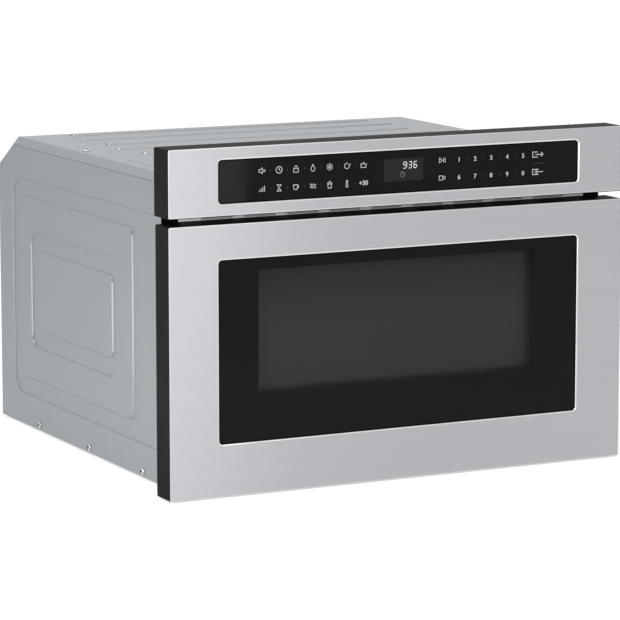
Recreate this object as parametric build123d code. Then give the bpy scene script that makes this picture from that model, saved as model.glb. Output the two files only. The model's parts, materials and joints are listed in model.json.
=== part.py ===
from build123d import *
import os
from math import acos, cos, floor, pi, radians, sin, tan

# A built-in microwave drawer: a fixed case with a control panel, and a door with its
# pan and tray that slide out of it together on rails, driven by racks and a motor.
# Millimetres, +Z up, the front faces -Y and +X is on the right seen from the front.
# The origin is the middle of the footprint, on the surface that the case stands on.

# ---------------------------------------------------------------- driving dimensions

# Overall and front
overall_width = 606.4
overall_depth = 590.5
door_bottom = 1.5
door_height = 319.5
door_gap = 9.0
door_depth = 37.0
panel_height = 80.0

# Steel skins and their black moulded frames
skin_sheet = 1.0
skin_margin = 1.0
skin_corner = 0.8
skin_groove = 0.2
edge_bevel = 0.5
rim_setback = 0.3
moulding_wall = 3.0
door_face_plate = 8.0
panel_face_plate = 6.0

# Glasses
window_side = 62.8
window_sill = 61.7
window_head = 41.4
touch_margin = 14.35
glass_corner = 5.0
glass_lap = 7.0
glass_ledge = 4.0
glass_play = 0.2
door_glass_sheet = 4.0
touch_glass_sheet = 3.0

# Door inside
screen_depth = 13.0
screen_side = 53.4
screen_sill = 54.3
inner_sheet = 1.0
inner_setback = 1.0
inner_window_sheet = 2.0
inner_window_lap = 4.0
inner_window_play = 0.5
choke_ring_depth = 2.6
choke_ring_width = 13.0
choke_corner = 6.0
boss_radius = 5.0
boss_bite = 0.8

# Case
case_inset = 26.95
case_drop = 35.4
case_sheet = 0.8
base_sheet = 1.0
base_flange = 19.0
foot_height = 3.0
foot_radius = 15.0
foot_inset = 60.0
chamfer_depth = 69.5
chamfer_drop = 42.2
cover_flange = 12.5
cover_seam = 0.4
tongue_lap = 1.5

# Pressed bands in the side panels. Each outline is given by its distances from the one
# outside it, at the front, the rear, the bottom and the top; the first is in the panel.
press_depth = 1.5
press_draft = 1.5
outer_band_margins = (60.0, 44.3, 39.4, 51.2)
outer_core_margins = (106.4, 26.2, 25.1, 23.9)
inner_band_margins = (45.9, 34.6, 41.1, 41.3)
inner_core_margins = (14.9, 24.4, 24.4, 24.5)
outer_band_corner = 28.0
inner_band_corner = 20.0
core_corner = 9.0

# Raised ribs on the top cover
rib_height = 1.2
rib_draft = 1.6
wide_rib_width = 18.0
wide_rib_inset = 61.25
wide_rib_corner = 8.0
narrow_rib_width = 9.0
narrow_rib_inset = 53.25
narrow_rib_corner = 4.0
rib_count = 5
rib_pitch = 56.5
last_rib_margin = 20.0

# Front frame and vent
frame_face = 39.9
frame_sheet = 1.2
frame_side = 9.2
frame_foot = 1.0
frame_head = 6.0
frame_return = 14.0
vent_side = 3.25
vent_sill = 0.4
vent_height = 27.6
vent_lap = 1.4
vent_sheet = 1.0
vent_slots = 9
vent_slot_length = 41.4
vent_slot_height = 8.0
vent_slot_corner = 2.0
vent_slot_pitch = 55.7
vent_slot_sill = 0.5
mount_hole_radius = 2.6
mount_hole_inset = 7.5
mount_hole_lift = 41.0
mount_hole_drop = 16.0

# Cavity, pan and tray
slide_space = 46.25
drive_space = 58.0
cavity_drop = 49.0
machine_space = 112.6
cavity_sheet = 0.8
cavity_flange = 8.0
mouth_inset = 2.0
pan_side_gap = 12.0
pan_lift = 5.0
pan_height = 123.0
pan_rear_gap = 21.1
pan_sheet = 1.2
pan_corner = 20.0
pan_rim = 6.0
pan_front_flange = 8.0
tray_sheet = 6.0
tray_play = 2.0

# Slides
travel = 380.0
rail_bottom = 48.0
rail_height = 45.0
rail_width = 13.5
rail_lap = 75.0
rail_sheet = 1.5
rail_play = 0.3
rail_setoff = 2.5
rail_start = 46.0
bracket_sheet = 1.5
bracket_gap = 1.25
bracket_foot = 17.0
arm_sheet = 2.0
arm_low = 30.0
arm_high = 93.0
slot_margin = 2.0

# Rack drive
pressure_angle = 20.0
tooth_root = 1.25
rack_module = 1.5
rack_width = 9.7
rack_body = 5.6
rack_spare = 50.0
rack_start = 45.0
pinion_teeth = 18
backlash = 0.3
shaft_radius = 5.0
shaft_setback = 80.0
shaft_height = 26.0
shaft_play = 0.03
end_play = 0.3
gear_module = 1.0
gear_teeth = 34
motor_teeth = 16
gear_width = 8.0
gear_place = 55.0
bearing_radius = 8.0
bearing_flange = 1.5
bearing_flange_radius = 10.5
support_sheet = 3.0
support_width = 36.0
support_top = 42.0
support_foot = 15.0
support_gap = 7.5

# Drive motor
gearbox_length = 28.0
gearbox_width = 40.0
gearbox_top = 46.0
gearbox_gap = 9.0
motor_radius = 17.0
motor_length = 52.0
motor_shaft_radius = 4.0
motor_bore_radius = 6.0
motor_bracket_sheet = 2.0

# Microwave feed and stirrer
guide_width = 90.0
guide_height = 40.0
guide_front = 225.0
guide_length = 200.0
guide_sheet = 1.0
stirrer_setback = 260.0
coupling_width = 70.0
coupling_depth = 52.0
stirrer_radius = 40.0
stirrer_drop = 10.0
stirrer_sheet = 1.0
stirrer_pitch = 8.0
stirrer_shaft_radius = 2.5
stirrer_motor_radius = 25.0
stirrer_motor_height = 17.0
stirrer_motor_edge = 2.1
stirrer_motor_lug = 10.0
stirrer_cover_size = 116.0
stirrer_cover_height = 20.0
stirrer_cover_wall = 1.5
stirrer_cover_corner = 9.7
magnetron_width = 96.0
magnetron_depth = 80.0
magnetron_height = 56.0
magnetron_wall = 2.0
magnetron_core_radius = 24.0
magnetron_fins = 6
fin_sheet = 1.0
antenna_radius = 8.0
antenna_length = 24.0
antenna_hole_radius = 12.0

# Cooling fan
fan_place = 150.0
fan_height = 190.0
fan_radius = 54.0
fan_tip_gap = 3.0
fan_ring_wall = 2.5
fan_ring_depth = 40.0
fan_plate = 2.5
fan_spokes = 3
fan_hub_radius = 14.0
fan_blades = 5
fan_blade_width = 16.0
fan_blade_sheet = 1.6
fan_blade_pitch = 35.0
fan_motor_radius = 24.0
fan_motor_length = 34.0
fan_shaft_radius = 3.0

# Boards and small electrical pieces
board_sheet = 1.6
inverter_width = 140.0
inverter_depth = 170.0
inverter_place = 108.0
inverter_front = 180.0
board_lift = 14.0
transformer_height = 48.0
heat_sink_height = 40.0
capacitor_height = 25.0
coil_height = 18.0
filter_width = 80.0
filter_depth = 50.0
lamp_box = 34.0
lamp_wall = 1.5
lamp_roof = 6.8
bulb_radius = 6.8
cutout_radius = 8.0
cutout_height = 9.0
duct_side = 73.0
duct_depth = 96.0
duct_wall = 1.5
control_board_depth = 14.0
control_board_side = 5.4
control_board_height = 56.0
display_width = 56.0
display_height = 33.0
display_place = 1.0
display_setback = 0.4
gland_radius = 8.0
gland_flange = 3.0
gland_inset = 45.45
gland_height = 40.0
hook_offset = 12.0
hook_drop = 29.0
hook_reach = 26.0
hook_tall = 16.0
hook_sheet = 2.0
switch_shelf = 39.0

# Screws
screw_radius = 2.0
screw_play = 0.05
screw_head_radius = 4.0
screw_head_height = 2.2
screw_length = 8.0
case_screw_length = 3.0
side_screw_height = 9.9
side_screw_first = 139.5
side_screw_pitch = 161.5
top_screw_setback = 329.0
top_screw_inset = 12.0
intake_slots = 9
intake_slot_length = 34.0
intake_slot_height = 4.0
intake_slot_pitch = 9.0
intake_slot_gap = 6.8

# ---------------------------------------------------------------- derived places

front = -overall_depth / 2
rear = overall_depth / 2
half_width = overall_width / 2
door_top = door_bottom + door_height
panel_bottom = door_top + door_gap
panel_top = panel_bottom + panel_height
panel_centre = panel_bottom + panel_height / 2
window_width = overall_width - 2 * window_side
window_height = door_height - window_sill - window_head
window_centre = door_bottom + window_sill + window_height / 2
touch_height = panel_height - 2 * touch_margin
inner_back = front + door_depth - inner_setback

case_width = overall_width - 2 * case_inset
half_case = case_width / 2
case_bottom = foot_height
case_top = panel_top - case_drop
base_top = case_bottom + base_sheet
side_inside = half_case - case_sheet
back_inside = rear - case_sheet
frame_front = front + frame_face
frame_back = frame_front + frame_sheet
frame_width = overall_width - 2 * frame_side
frame_bottom = case_bottom + frame_foot
frame_top = panel_top - frame_head
vent_width = case_width - 2 * vent_side
vent_low = door_top + vent_sill
vent_high = vent_low + vent_height

cavity_half = half_case - slide_space
cavity_floor = base_top + drive_space
cavity_ceiling = door_top - cavity_drop
cavity_top = cavity_ceiling + cavity_sheet
cavity_bottom = cavity_floor - cavity_sheet
cavity_rear = back_inside - machine_space
cavity_depth = cavity_rear - frame_back
mouth_half = cavity_half - mouth_inset
mouth_low = cavity_floor + mouth_inset
mouth_high = cavity_ceiling - mouth_inset
choke_half = mouth_half - mouth_inset / 2
choke_high = mouth_high - mouth_inset
pan_half = cavity_half - pan_side_gap
pan_bottom = cavity_floor + pan_lift
pan_top = pan_bottom + pan_height
pan_rear = cavity_rear - pan_rear_gap
choke_low = pan_bottom - pan_front_flange - mouth_inset / 4
screen_width = window_width - 2 * screen_side
screen_bottom = door_bottom + window_sill + screen_sill
screen_height = choke_high - inner_window_play - inner_window_lap - screen_bottom
screen_centre = screen_bottom + screen_height / 2
hook_place = cavity_half + cavity_flange + hook_offset
hook_height = door_top - hook_drop

rail_top = rail_bottom + rail_height
bracket_outside = side_inside - press_depth - bracket_gap
bracket_inside = bracket_outside - bracket_sheet
outer_rail_end = bracket_inside - rail_width
middle_outside = bracket_inside - rail_sheet - rail_play
middle_inside = middle_outside - rail_sheet
inner_rail_web = outer_rail_end - rail_setoff
arm_inside = inner_rail_web - arm_sheet
rack_inside = arm_inside - rack_width
rail_step = rail_sheet + rail_play
rail_front = front + rail_start
rail_length = travel + rail_lap

shaft_y = front + shaft_setback
pinion_radius = rack_module * pinion_teeth / 2
rack_line = shaft_height + pinion_radius
rack_length = travel + rack_spare
shaft_end = arm_inside - end_play
support_outside = rack_inside - support_gap
support_inside = support_outside - support_sheet
motor_y = shaft_y + gear_module * (gear_teeth + motor_teeth) / 2
gearbox_face = gear_place + gear_width + gearbox_gap
gearbox_front = shaft_y + shaft_radius + end_play + bearing_flange

guide_top = cavity_top + guide_height
guide_y = (front + guide_front, front + guide_front + guide_length)
stirrer_y = front + stirrer_setback
magnetron_y = guide_y[1] - magnetron_depth / 2 - guide_sheet
fan_motor_front = back_inside - fan_ring_depth
fan_centre = (fan_place, fan_height)


# ---------------------------------------------------------------- helpers

def block(x, y, z):
    """A box from its low and high edges on each axis."""
    size = Box(x[1] - x[0], y[1] - y[0], z[1] - z[0])
    return Pos((x[0] + x[1]) / 2, (y[0] + y[1]) / 2, (z[0] + z[1]) / 2) * size


def rod_x(radius, x, y, z):
    """A round bar along X."""
    return Pos((x[0] + x[1]) / 2, y, z) * Rot(Y=90) * Cylinder(radius, x[1] - x[0])


def rod_y(radius, x, y, z):
    """A round bar along Y."""
    return Pos(x, (y[0] + y[1]) / 2, z) * Rot(X=90) * Cylinder(radius, y[1] - y[0])


def rod_z(radius, x, y, z):
    """A round bar along Z."""
    return Pos(x, y, (z[0] + z[1]) / 2) * Cylinder(radius, z[1] - z[0])


def plate_y(width, height, corner, centre_z, y):
    """A round-cornered plate that faces the front, centred on X."""
    outline = Pos(0, y[1], centre_z) * Rot(X=90) * RectangleRounded(width, height, corner)
    return extrude(outline, y[1] - y[0])


def frustum(plane, centre, size, corner, height, draft):
    """A round-cornered pressing that narrows by its draft over its height."""
    low = plane * Pos(*centre) * RectangleRounded(*size, corner)
    narrow = (size[0] - 2 * draft, size[1] - 2 * draft)
    high = plane.offset(height) * Pos(*centre) * RectangleRounded(*narrow, corner - draft)
    return loft([low, high])


def bevelled_hole(width, height, corner, centre_z, y):
    """A round-cornered hole through a front skin, with its front edge bevelled."""
    hole = plate_y(width, height, corner, centre_z, y)
    plane = Plane(origin=(0, y[0], centre_z), x_dir=(1, 0, 0), z_dir=(0, 1, 0))
    wide = (width + 2 * edge_bevel, height + 2 * edge_bevel)
    return hole + frustum(plane, (0, 0), wide, corner + edge_bevel, edge_bevel, edge_bevel)


def pan_head(length):
    """A screw whose head stands on the plane z = 0 and whose shank goes down."""
    shank = rod_z(screw_radius, 0, 0, (-length, 0))
    head = rod_z(screw_head_radius, 0, 0, (0, screw_head_height))
    rim = head.edges().sort_by(Axis.Z)[-1]
    head = fillet(rim, screw_head_height / 2)
    slot_depth = screw_head_height / 2
    slot = block(
        (-screw_head_radius, screw_head_radius),
        (-screw_radius / 4, screw_radius / 4),
        (screw_head_height - slot_depth, screw_head_height),
    )
    return shank + head - slot - Rot(Z=90) * slot


def other_side(part):
    """The same piece on the left."""
    return mirror(part, about=Plane.YZ)


def flank_angle(radius, base):
    """Involute angle at a radius outside the base circle."""
    pressure = acos(min(1.0, base / radius))
    return tan(pressure) - pressure


def gear(module, teeth, x, y, z, turn):
    """A spur gear about X whose first tooth points along +Y, turned by the given degrees."""
    pitch = module * teeth / 2
    base = pitch * cos(radians(pressure_angle))
    root = pitch - tooth_root * module
    tip = pitch + module
    half_tooth = pi / (2 * teeth) - backlash / (4 * pitch) + flank_angle(pitch, base)
    start = max(base, root)
    steps = 4
    points = []
    for tooth in range(teeth):
        middle = radians(turn) + 2 * pi * tooth / teeth
        radii = [root] + [start + (tip - start) * step / steps for step in range(steps + 1)]
        halves = [half_tooth - flank_angle(max(radius, base), base) for radius in radii]
        rising = [(radius, middle - half) for radius, half in zip(radii, halves)]
        falling = [(radius, middle + half) for radius, half in zip(radii, halves)]
        points += rising + falling[::-1]
    corners = [(radius * cos(angle), radius * sin(angle)) for radius, angle in points]
    plane = Plane(origin=(x[0], y, z), x_dir=(0, 1, 0), z_dir=(1, 0, 0))
    outline = plane * make_face(Polyline(*corners, close=True))
    return extrude(outline, x[1] - x[0])


# ---------------------------------------------------------------- front skins and frames

def skin(low, high, hole_height, hole_centre):
    """A steel front skin with a bevelled opening for its glass."""
    y = (front, front + skin_sheet)
    width = overall_width - 2 * skin_margin
    height = high - low - 2 * skin_margin
    sheet = plate_y(width, height, skin_corner, (low + high) / 2, y)
    outer_rim = sheet.edges().group_by(Axis.Y)[0]
    sheet = chamfer(outer_rim, edge_bevel)
    return sheet - bevelled_hole(window_width, hole_height, glass_corner, hole_centre, y)


def glass(height, centre, sheet):
    """A flat glass that laps behind the opening in its skin."""
    y = (front + skin_sheet, front + skin_sheet + sheet)
    corner = glass_corner + glass_lap
    return plate_y(window_width + 2 * glass_lap, height + 2 * glass_lap, corner, centre, y)


def moulding(low, high, depth, face_plate, hole_height, hole_centre, sheet):
    """A black moulded frame, open at the back, with a pocket for the glass."""
    centre = (low + high) / 2
    height = high - low
    corner = skin_corner + skin_margin
    outside = (front + rim_setback, front + depth)
    body = plate_y(overall_width, height, corner, centre, outside)
    seat_margin = skin_margin - skin_groove
    seat_width = overall_width - 2 * seat_margin
    seat_height = height - 2 * seat_margin
    seat_front = front + skin_sheet
    seat = plate_y(seat_width, seat_height, skin_corner + skin_groove, centre, (front, seat_front))
    inside_width = overall_width - 2 * moulding_wall
    inside_height = height - 2 * moulding_wall
    inside = (seat_front + face_plate, front + depth)
    hollow = plate_y(inside_width, inside_height, skin_corner, centre, inside)
    lap = glass_lap + glass_play
    pocket_y = (seat_front, seat_front + sheet)
    pocket_corner = glass_corner + lap
    pocket = plate_y(window_width + 2 * lap, hole_height + 2 * lap, pocket_corner, hole_centre, pocket_y)
    hole_y = (seat_front, inside[0])
    hole_width = window_width - 2 * glass_ledge
    hole = plate_y(hole_width, hole_height - 2 * glass_ledge, glass_corner, hole_centre, hole_y)
    return body - seat - hollow - pocket - hole


def door_screw_places():
    """Eight screws round the door, X and Z."""
    inset = moulding_wall + boss_radius - boss_bite
    side = half_width - inset
    low = door_bottom + inset
    high = door_top - inset
    middle = (low + high) / 2
    places = []
    for x in (-side, side):
        places += [(x, low), (x, middle), (x, high)]
    return places + [(0, low), (0, high)]


def door_skin():
    return skin(door_bottom, door_top, window_height, window_centre)


def door_glass():
    return glass(window_height, window_centre, door_glass_sheet)


def door_frame():
    frame = moulding(
        door_bottom, door_top, door_depth, door_face_plate, window_height, window_centre, door_glass_sheet
    )
    boss_front = front + skin_sheet + door_face_plate
    boss_back = inner_back - inner_sheet
    for x, z in door_screw_places():
        frame += rod_y(boss_radius, x, (boss_front, boss_back), z)
    for x, z in door_screw_places():
        frame -= rod_y(screw_radius + screw_play, x, (boss_front, boss_back), z)
    return frame


def door_inner_plate():
    """The steel back of the door, with the pocket whose floor is the perforated screen."""
    width = overall_width - 2 * moulding_wall
    height = door_height - 2 * moulding_wall
    centre = (door_bottom + door_top) / 2
    back = (inner_back - inner_sheet, inner_back)
    plate = plate_y(width, height, skin_corner, centre, back)
    pocket_front = front + screen_depth
    outer_size = (screen_width + 2 * inner_sheet, screen_height + 2 * inner_sheet)
    plate += plate_y(*outer_size, inner_sheet * 2, screen_centre, (pocket_front, inner_back))
    inside = (pocket_front + inner_sheet, inner_back)
    plate -= plate_y(screen_width, screen_height, inner_sheet, screen_centre, inside)
    for x, z in door_screw_places():
        plate -= rod_y(screw_radius + screw_play, x, back, z)
    return plate


def inner_window():
    """The clear pane that closes the screen's pocket towards the food."""
    width = screen_width + 2 * inner_window_lap
    height = screen_height + 2 * inner_window_lap
    y = (inner_back, inner_back + inner_window_sheet)
    return plate_y(width, height, inner_window_lap, screen_centre, y)


def choke_cover():
    """The plastic ring on the door that faces the rim of the cavity."""
    centre = (choke_low + choke_high) / 2
    height = choke_high - choke_low
    y = (inner_back, inner_back + choke_ring_depth)
    outer_width = 2 * (choke_half + choke_ring_width)
    ring = plate_y(outer_width, height + 2 * choke_ring_width, choke_corner, centre, y)
    return ring - plate_y(2 * choke_half, height, choke_corner / 2, centre, y)


def door_hook():
    """A steel hook on the door that reaches through the front frame to its switch."""
    low = hook_height - hook_tall / 2
    high = hook_height + hook_tall / 2
    x = (hook_place - hook_sheet, hook_place)
    foot_end = hook_place + hook_tall / 2
    foot = block((x[0], foot_end), (inner_back, inner_back + hook_sheet), (low, high))
    blade = block(x, (inner_back, inner_back + hook_reach), (low, high))
    notch_y = (inner_back + hook_reach / 2, inner_back + hook_reach * 3 / 4)
    notch = block(x, notch_y, (hook_height, high))
    return foot + blade - notch


def door_hooks():
    return Compound([door_hook(), other_side(door_hook())])


def door_screws():
    screw = Rot(X=-90) * pan_head(screw_length)
    return Compound([Pos(x, inner_back, z) * screw for x, z in door_screw_places()])


# ---------------------------------------------------------------- control panel

def control_fascia():
    return skin(panel_bottom, panel_top, touch_height, panel_centre)


def touch_glass():
    return glass(touch_height, panel_centre, touch_glass_sheet)


def control_housing():
    housing = moulding(
        panel_bottom, panel_top, frame_face, panel_face_plate, touch_height, panel_centre, touch_glass_sheet
    )
    stud_y = (front + skin_sheet + panel_face_plate, front + control_board_depth)
    for x, z in board_studs():
        housing += rod_y(boss_radius, x, stud_y, z)
    return housing


def board_studs():
    """Four studs that carry the control board, X and Z."""
    x = window_width / 2 - control_board_side - boss_radius
    z = control_board_height / 2 - boss_radius
    return [(sx * x, panel_centre + sz * z) for sx in (-1, 1) for sz in (-1, 1)]


def control_board():
    y = (front + control_board_depth, front + control_board_depth + board_sheet)
    board_width = window_width - 2 * control_board_side
    board = plate_y(board_width, control_board_height, inner_sheet, panel_centre, y)
    chip = control_board_height / 4
    for place in (-3, 2, 4):
        x = place * chip * 3
        z = (panel_centre - chip / 2, panel_centre + chip / 2)
        board += block((x, x + chip * 2), (y[1], y[1] + chip / 2), z)
    return board


def display_module():
    """The display behind the touch glass, carried by the control board."""
    low = panel_centre - display_height / 2
    x = (display_place - display_width / 2, display_place + display_width / 2)
    y = (front + skin_sheet + touch_glass_sheet + display_setback, front + control_board_depth)
    return block(x, y, (low, low + display_height))


# ---------------------------------------------------------------- case

def feet_places():
    """Centres of the four feet pressed into the base, X and Y."""
    x = half_case - foot_inset
    return [(sx * x, y) for sx in (-1, 1) for y in (frame_back + foot_inset, rear - foot_inset)]


def side_screw_places():
    return [front + side_screw_first + step * side_screw_pitch for step in range(3)]


def base_plate():
    """The floor of the case, with upturned flanges and four pressed feet."""
    y = (frame_back, back_inside)
    plate = block((-side_inside, side_inside), y, (case_bottom, base_top))
    flange_x = (side_inside - base_sheet, side_inside)
    flange = block(flange_x, y, (base_top, base_top + base_flange))
    plate += flange
    plate += other_side(flange)
    for x, foot_y in feet_places():
        plate += rod_z(foot_radius, x, foot_y, (0, base_top))
    for x, foot_y in feet_places():
        plate -= rod_z(foot_radius - base_sheet, x, foot_y, (base_sheet, base_top))
    for hole_y in side_screw_places():
        hole_x = (-side_inside, side_inside)
        plate -= rod_x(screw_radius + screw_play, hole_x, hole_y, side_screw_height)
    return plate


def inside(outline, margins):
    """An outline (front, rear, low, high) set in from another by its four margins."""
    near, far, low, high = outline
    return near + margins[0], far - margins[1], low + margins[2], high - margins[3]


def pressed_band(band, core, corner):
    """The recess between two round-cornered outlines."""
    plane = Plane(origin=(half_case, 0, 0), x_dir=(0, 1, 0), z_dir=(1, 0, 0))
    inward = -press_depth
    solids = []
    for outline, radius, draft in ((band, corner, press_draft), (core, core_corner, -press_draft)):
        near, far, low, high = outline
        centre = ((near + far) / 2, (low + high) / 2)
        solids.append(frustum(plane, centre, (far - near, high - low), radius, inward, draft))
    return solids[0] - solids[1]


def slope_inside():
    """Lower and upper end of the inner face of the slope at the top of the back, Y and Z."""
    knee = (back_inside, case_top - chamfer_drop - case_sheet / 2)
    return knee, (rear - chamfer_depth, case_top - case_sheet)


def slope_reach(z):
    """How far back the inside of the case goes at a height within the slope."""
    (knee_y, knee_z), (top_y, top_z) = slope_inside()
    return knee_y + (top_y - knee_y) * (z - knee_z) / (top_z - knee_z)


def side_panel():
    """The right side of the case: a sheet with two pressed bands and a tongue under the cover."""
    seam = case_top - cover_flange
    (knee_y, knee_z), (top_y, top_z) = slope_inside()
    seam_y = slope_reach(seam)
    outline = Polyline(
        (frame_back, case_bottom),
        (knee_y, case_bottom),
        (knee_y, knee_z),
        (seam_y, seam),
        (frame_back, seam),
        close=True,
    )
    plane = Plane(origin=(side_inside, 0, 0), x_dir=(0, 1, 0), z_dir=(1, 0, 0))
    sheet = extrude(plane * make_face(outline), case_sheet)
    outer_band = inside((front, rear, case_bottom, case_top), outer_band_margins)
    outer_core = inside(outer_band, outer_core_margins)
    inner_band = inside(outer_core, inner_band_margins)
    inner_core = inside(inner_band, inner_core_margins)
    bands = pressed_band(outer_band, outer_core, outer_band_corner)
    bands += pressed_band(inner_band, inner_core, inner_band_corner)
    sheet = sheet + Pos(-case_sheet, 0, 0) * bands - bands
    tongue_x = (side_inside - case_sheet, side_inside)
    tongue_z = (seam - tongue_lap, top_z)
    sheet += block(tongue_x, (frame_back, top_y), tongue_z)
    for hole_y in side_screw_places():
        sheet -= rod_x(screw_radius + screw_play, (side_inside, half_case), hole_y, side_screw_height)
    return sheet


def top_screw_places():
    x = half_case - top_screw_inset
    return [(sx * x, front + top_screw_setback) for sx in (-1, 1)]


def top_cover():
    """The lid of the case: side flanges over the panels and raised ribs across its top."""
    y = (frame_back, rear - chamfer_depth)
    flange_low = case_top - cover_flange + cover_seam
    cover = block((-half_case, half_case), y, (case_top - case_sheet, case_top))
    flange = block((side_inside, half_case), y, (flange_low, case_top))
    top_z = case_top - case_sheet
    flange_end = Polyline(
        (y[1], flange_low),
        (slope_reach(flange_low), flange_low),
        (y[1], top_z),
        close=True,
    )
    side_plane = Plane(origin=(side_inside, 0, 0), x_dir=(0, 1, 0), z_dir=(1, 0, 0))
    flange += extrude(side_plane * make_face(flange_end), case_sheet)
    cover += flange
    cover += other_side(flange)
    plane = Plane(origin=(0, 0, case_top), x_dir=(1, 0, 0), z_dir=(0, 0, 1))
    ribs = []
    for step in range(rib_count):
        wide = step % 2 == 0
        width = wide_rib_width if wide else narrow_rib_width
        length = case_width - 2 * (wide_rib_inset if wide else narrow_rib_inset)
        corner = wide_rib_corner if wide else narrow_rib_corner
        centre = (0, y[1] - last_rib_margin - step * rib_pitch)
        ribs.append(frustum(plane, centre, (length, width), corner, rib_height, rib_draft))
    for rib in ribs:
        cover += rib
    for rib in ribs:
        cover -= Pos(0, 0, -case_sheet) * rib
    for x, hole_y in top_screw_places():
        cover -= rod_z(screw_radius + screw_play, x, hole_y, (case_top - case_sheet, case_top))
    return cover


def back_panel():
    """The back of the case: an upright sheet, its slope under the cover and the air intake."""
    knee, top = slope_inside()
    outline = Polyline(
        (rear, case_bottom),
        (rear, case_top - chamfer_drop),
        (top[0], case_top),
        top,
        knee,
        (back_inside, case_bottom),
        close=True,
    )
    plane = Plane(origin=(-half_case, 0, 0), x_dir=(0, 1, 0), z_dir=(1, 0, 0))
    panel = extrude(plane * make_face(outline), case_width)
    through = (back_inside, rear)
    for row in range(intake_slots):
        z = fan_height + (row - (intake_slots - 1) / 2) * intake_slot_pitch
        for side in (-1, 1):
            x = fan_place + side * (intake_slot_length + intake_slot_gap) / 2
            slot = Pos(x, rear, z) * Rot(X=90) * SlotOverall(intake_slot_length, intake_slot_height)
            panel -= extrude(slot, case_sheet)
    return panel - rod_y(gland_radius, gland_inset - side_inside, through, gland_height)


def front_frame():
    """The black mounting frame: cavity mouth, slots for the slides, vent and screw holes."""
    y = (frame_front, frame_back)
    height = frame_top - frame_bottom
    frame = plate_y(frame_width, height, skin_corner, (frame_top + frame_bottom) / 2, y)
    mouth_height = mouth_high - mouth_low
    frame -= plate_y(2 * mouth_half, mouth_height, choke_corner, (mouth_low + mouth_high) / 2, y)
    frame -= block((-vent_width / 2, vent_width / 2), y, (vent_low, vent_high))
    slot_x = (rack_inside - slot_margin, middle_outside + slot_margin / 2)
    slot = block(slot_x, y, (arm_low - slot_margin, arm_high + slot_margin))
    hook_x = (hook_place - hook_sheet * 2, hook_place + hook_sheet)
    hook_z = (hook_height - hook_tall / 2 - slot_margin, hook_height + hook_tall / 2 + slot_margin)
    hook_slot = block(hook_x, y, hook_z)
    hole_x = frame_width / 2 - mount_hole_inset
    hole_z = (frame_bottom + mount_hole_lift, door_top - mount_hole_drop)
    holes = [rod_y(mount_hole_radius, hole_x, y, z) for z in hole_z]
    return_x = (side_inside - case_sheet, side_inside)
    return_z = (base_top + base_flange, case_top - cover_flange - tongue_lap)
    fold = block(return_x, (frame_back, frame_back + frame_return), return_z)
    for cut in [slot, hook_slot] + holes:
        frame -= cut
        frame -= other_side(cut)
    frame += fold
    return frame + other_side(fold)


def vent_grille():
    """The bright strip with a row of slots behind the gap over the door."""
    y = (frame_back, frame_back + vent_sheet)
    half = vent_width / 2 + vent_lap
    grille = block((-half, half), y, (vent_low - vent_lap, vent_high + vent_lap))
    slot_z = vent_low + vent_slot_sill + vent_slot_height / 2
    for step in range(vent_slots):
        x = (step - (vent_slots - 1) / 2) * vent_slot_pitch
        outline = RectangleRounded(vent_slot_length, vent_slot_height, vent_slot_corner)
        grille -= extrude(Pos(x, y[1], slot_z) * Rot(X=90) * outline, vent_sheet)
    return grille


def case_screws():
    """Screws along the bottom of both sides and on the top."""
    screws = []
    for y in side_screw_places():
        screw = Pos(half_case, y, side_screw_height) * Rot(Y=90) * pan_head(case_screw_length)
        screws += [screw, other_side(screw)]
    for x, y in top_screw_places():
        screws.append(Pos(x, y, case_top) * pan_head(case_screw_length))
    return Compound(screws)


def cord_gland():
    """The bush in the back panel where the supply lead leaves."""
    barrel_y = (back_inside - gland_flange * 2, rear)
    flange_y = (back_inside - gland_flange, back_inside)
    x = gland_inset - side_inside
    gland = rod_y(gland_radius, x, barrel_y, gland_height)
    gland += rod_y(gland_radius + gland_flange, x, flange_y, gland_height)
    return gland - rod_y(gland_radius / 2, x, barrel_y, gland_height)


# ---------------------------------------------------------------- cavity, pan and tray

def cavity_shell():
    """The fixed oven cavity, open to the front."""
    outer_half = cavity_half + cavity_sheet
    outer_y = (frame_back, cavity_rear + cavity_sheet)
    shell = block((-outer_half, outer_half), outer_y, (cavity_bottom, cavity_top))
    rim = cavity_half + cavity_flange
    flange_z = (cavity_floor - cavity_flange, cavity_ceiling + cavity_flange)
    shell += block((-rim, rim), (frame_back, frame_back + cavity_sheet), flange_z)
    inside = (frame_back, cavity_rear)
    shell -= block((-cavity_half, cavity_half), inside, (cavity_floor, cavity_ceiling))
    coupling_x = (-coupling_width / 2, coupling_width / 2)
    coupling_y = (stirrer_y - coupling_depth / 2, stirrer_y + coupling_depth / 2)
    shell -= block(coupling_x, coupling_y, (cavity_ceiling, cavity_top))
    lamp_x, lamp_y = lamp_centre()
    return shell - rod_z(lamp_box / 4, lamp_x, lamp_y, (cavity_ceiling, cavity_top))


def pan_outline(half, back, corner):
    """A pan's plan: square at the front and round at the back corners."""
    depth = back - inner_back
    sheet = Pos(0, inner_back + depth / 2) * RectangleRounded(2 * half, depth, corner)
    square = Pos(0, inner_back + depth / 4) * Rectangle(2 * half, depth / 2)
    return sheet + square


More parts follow.
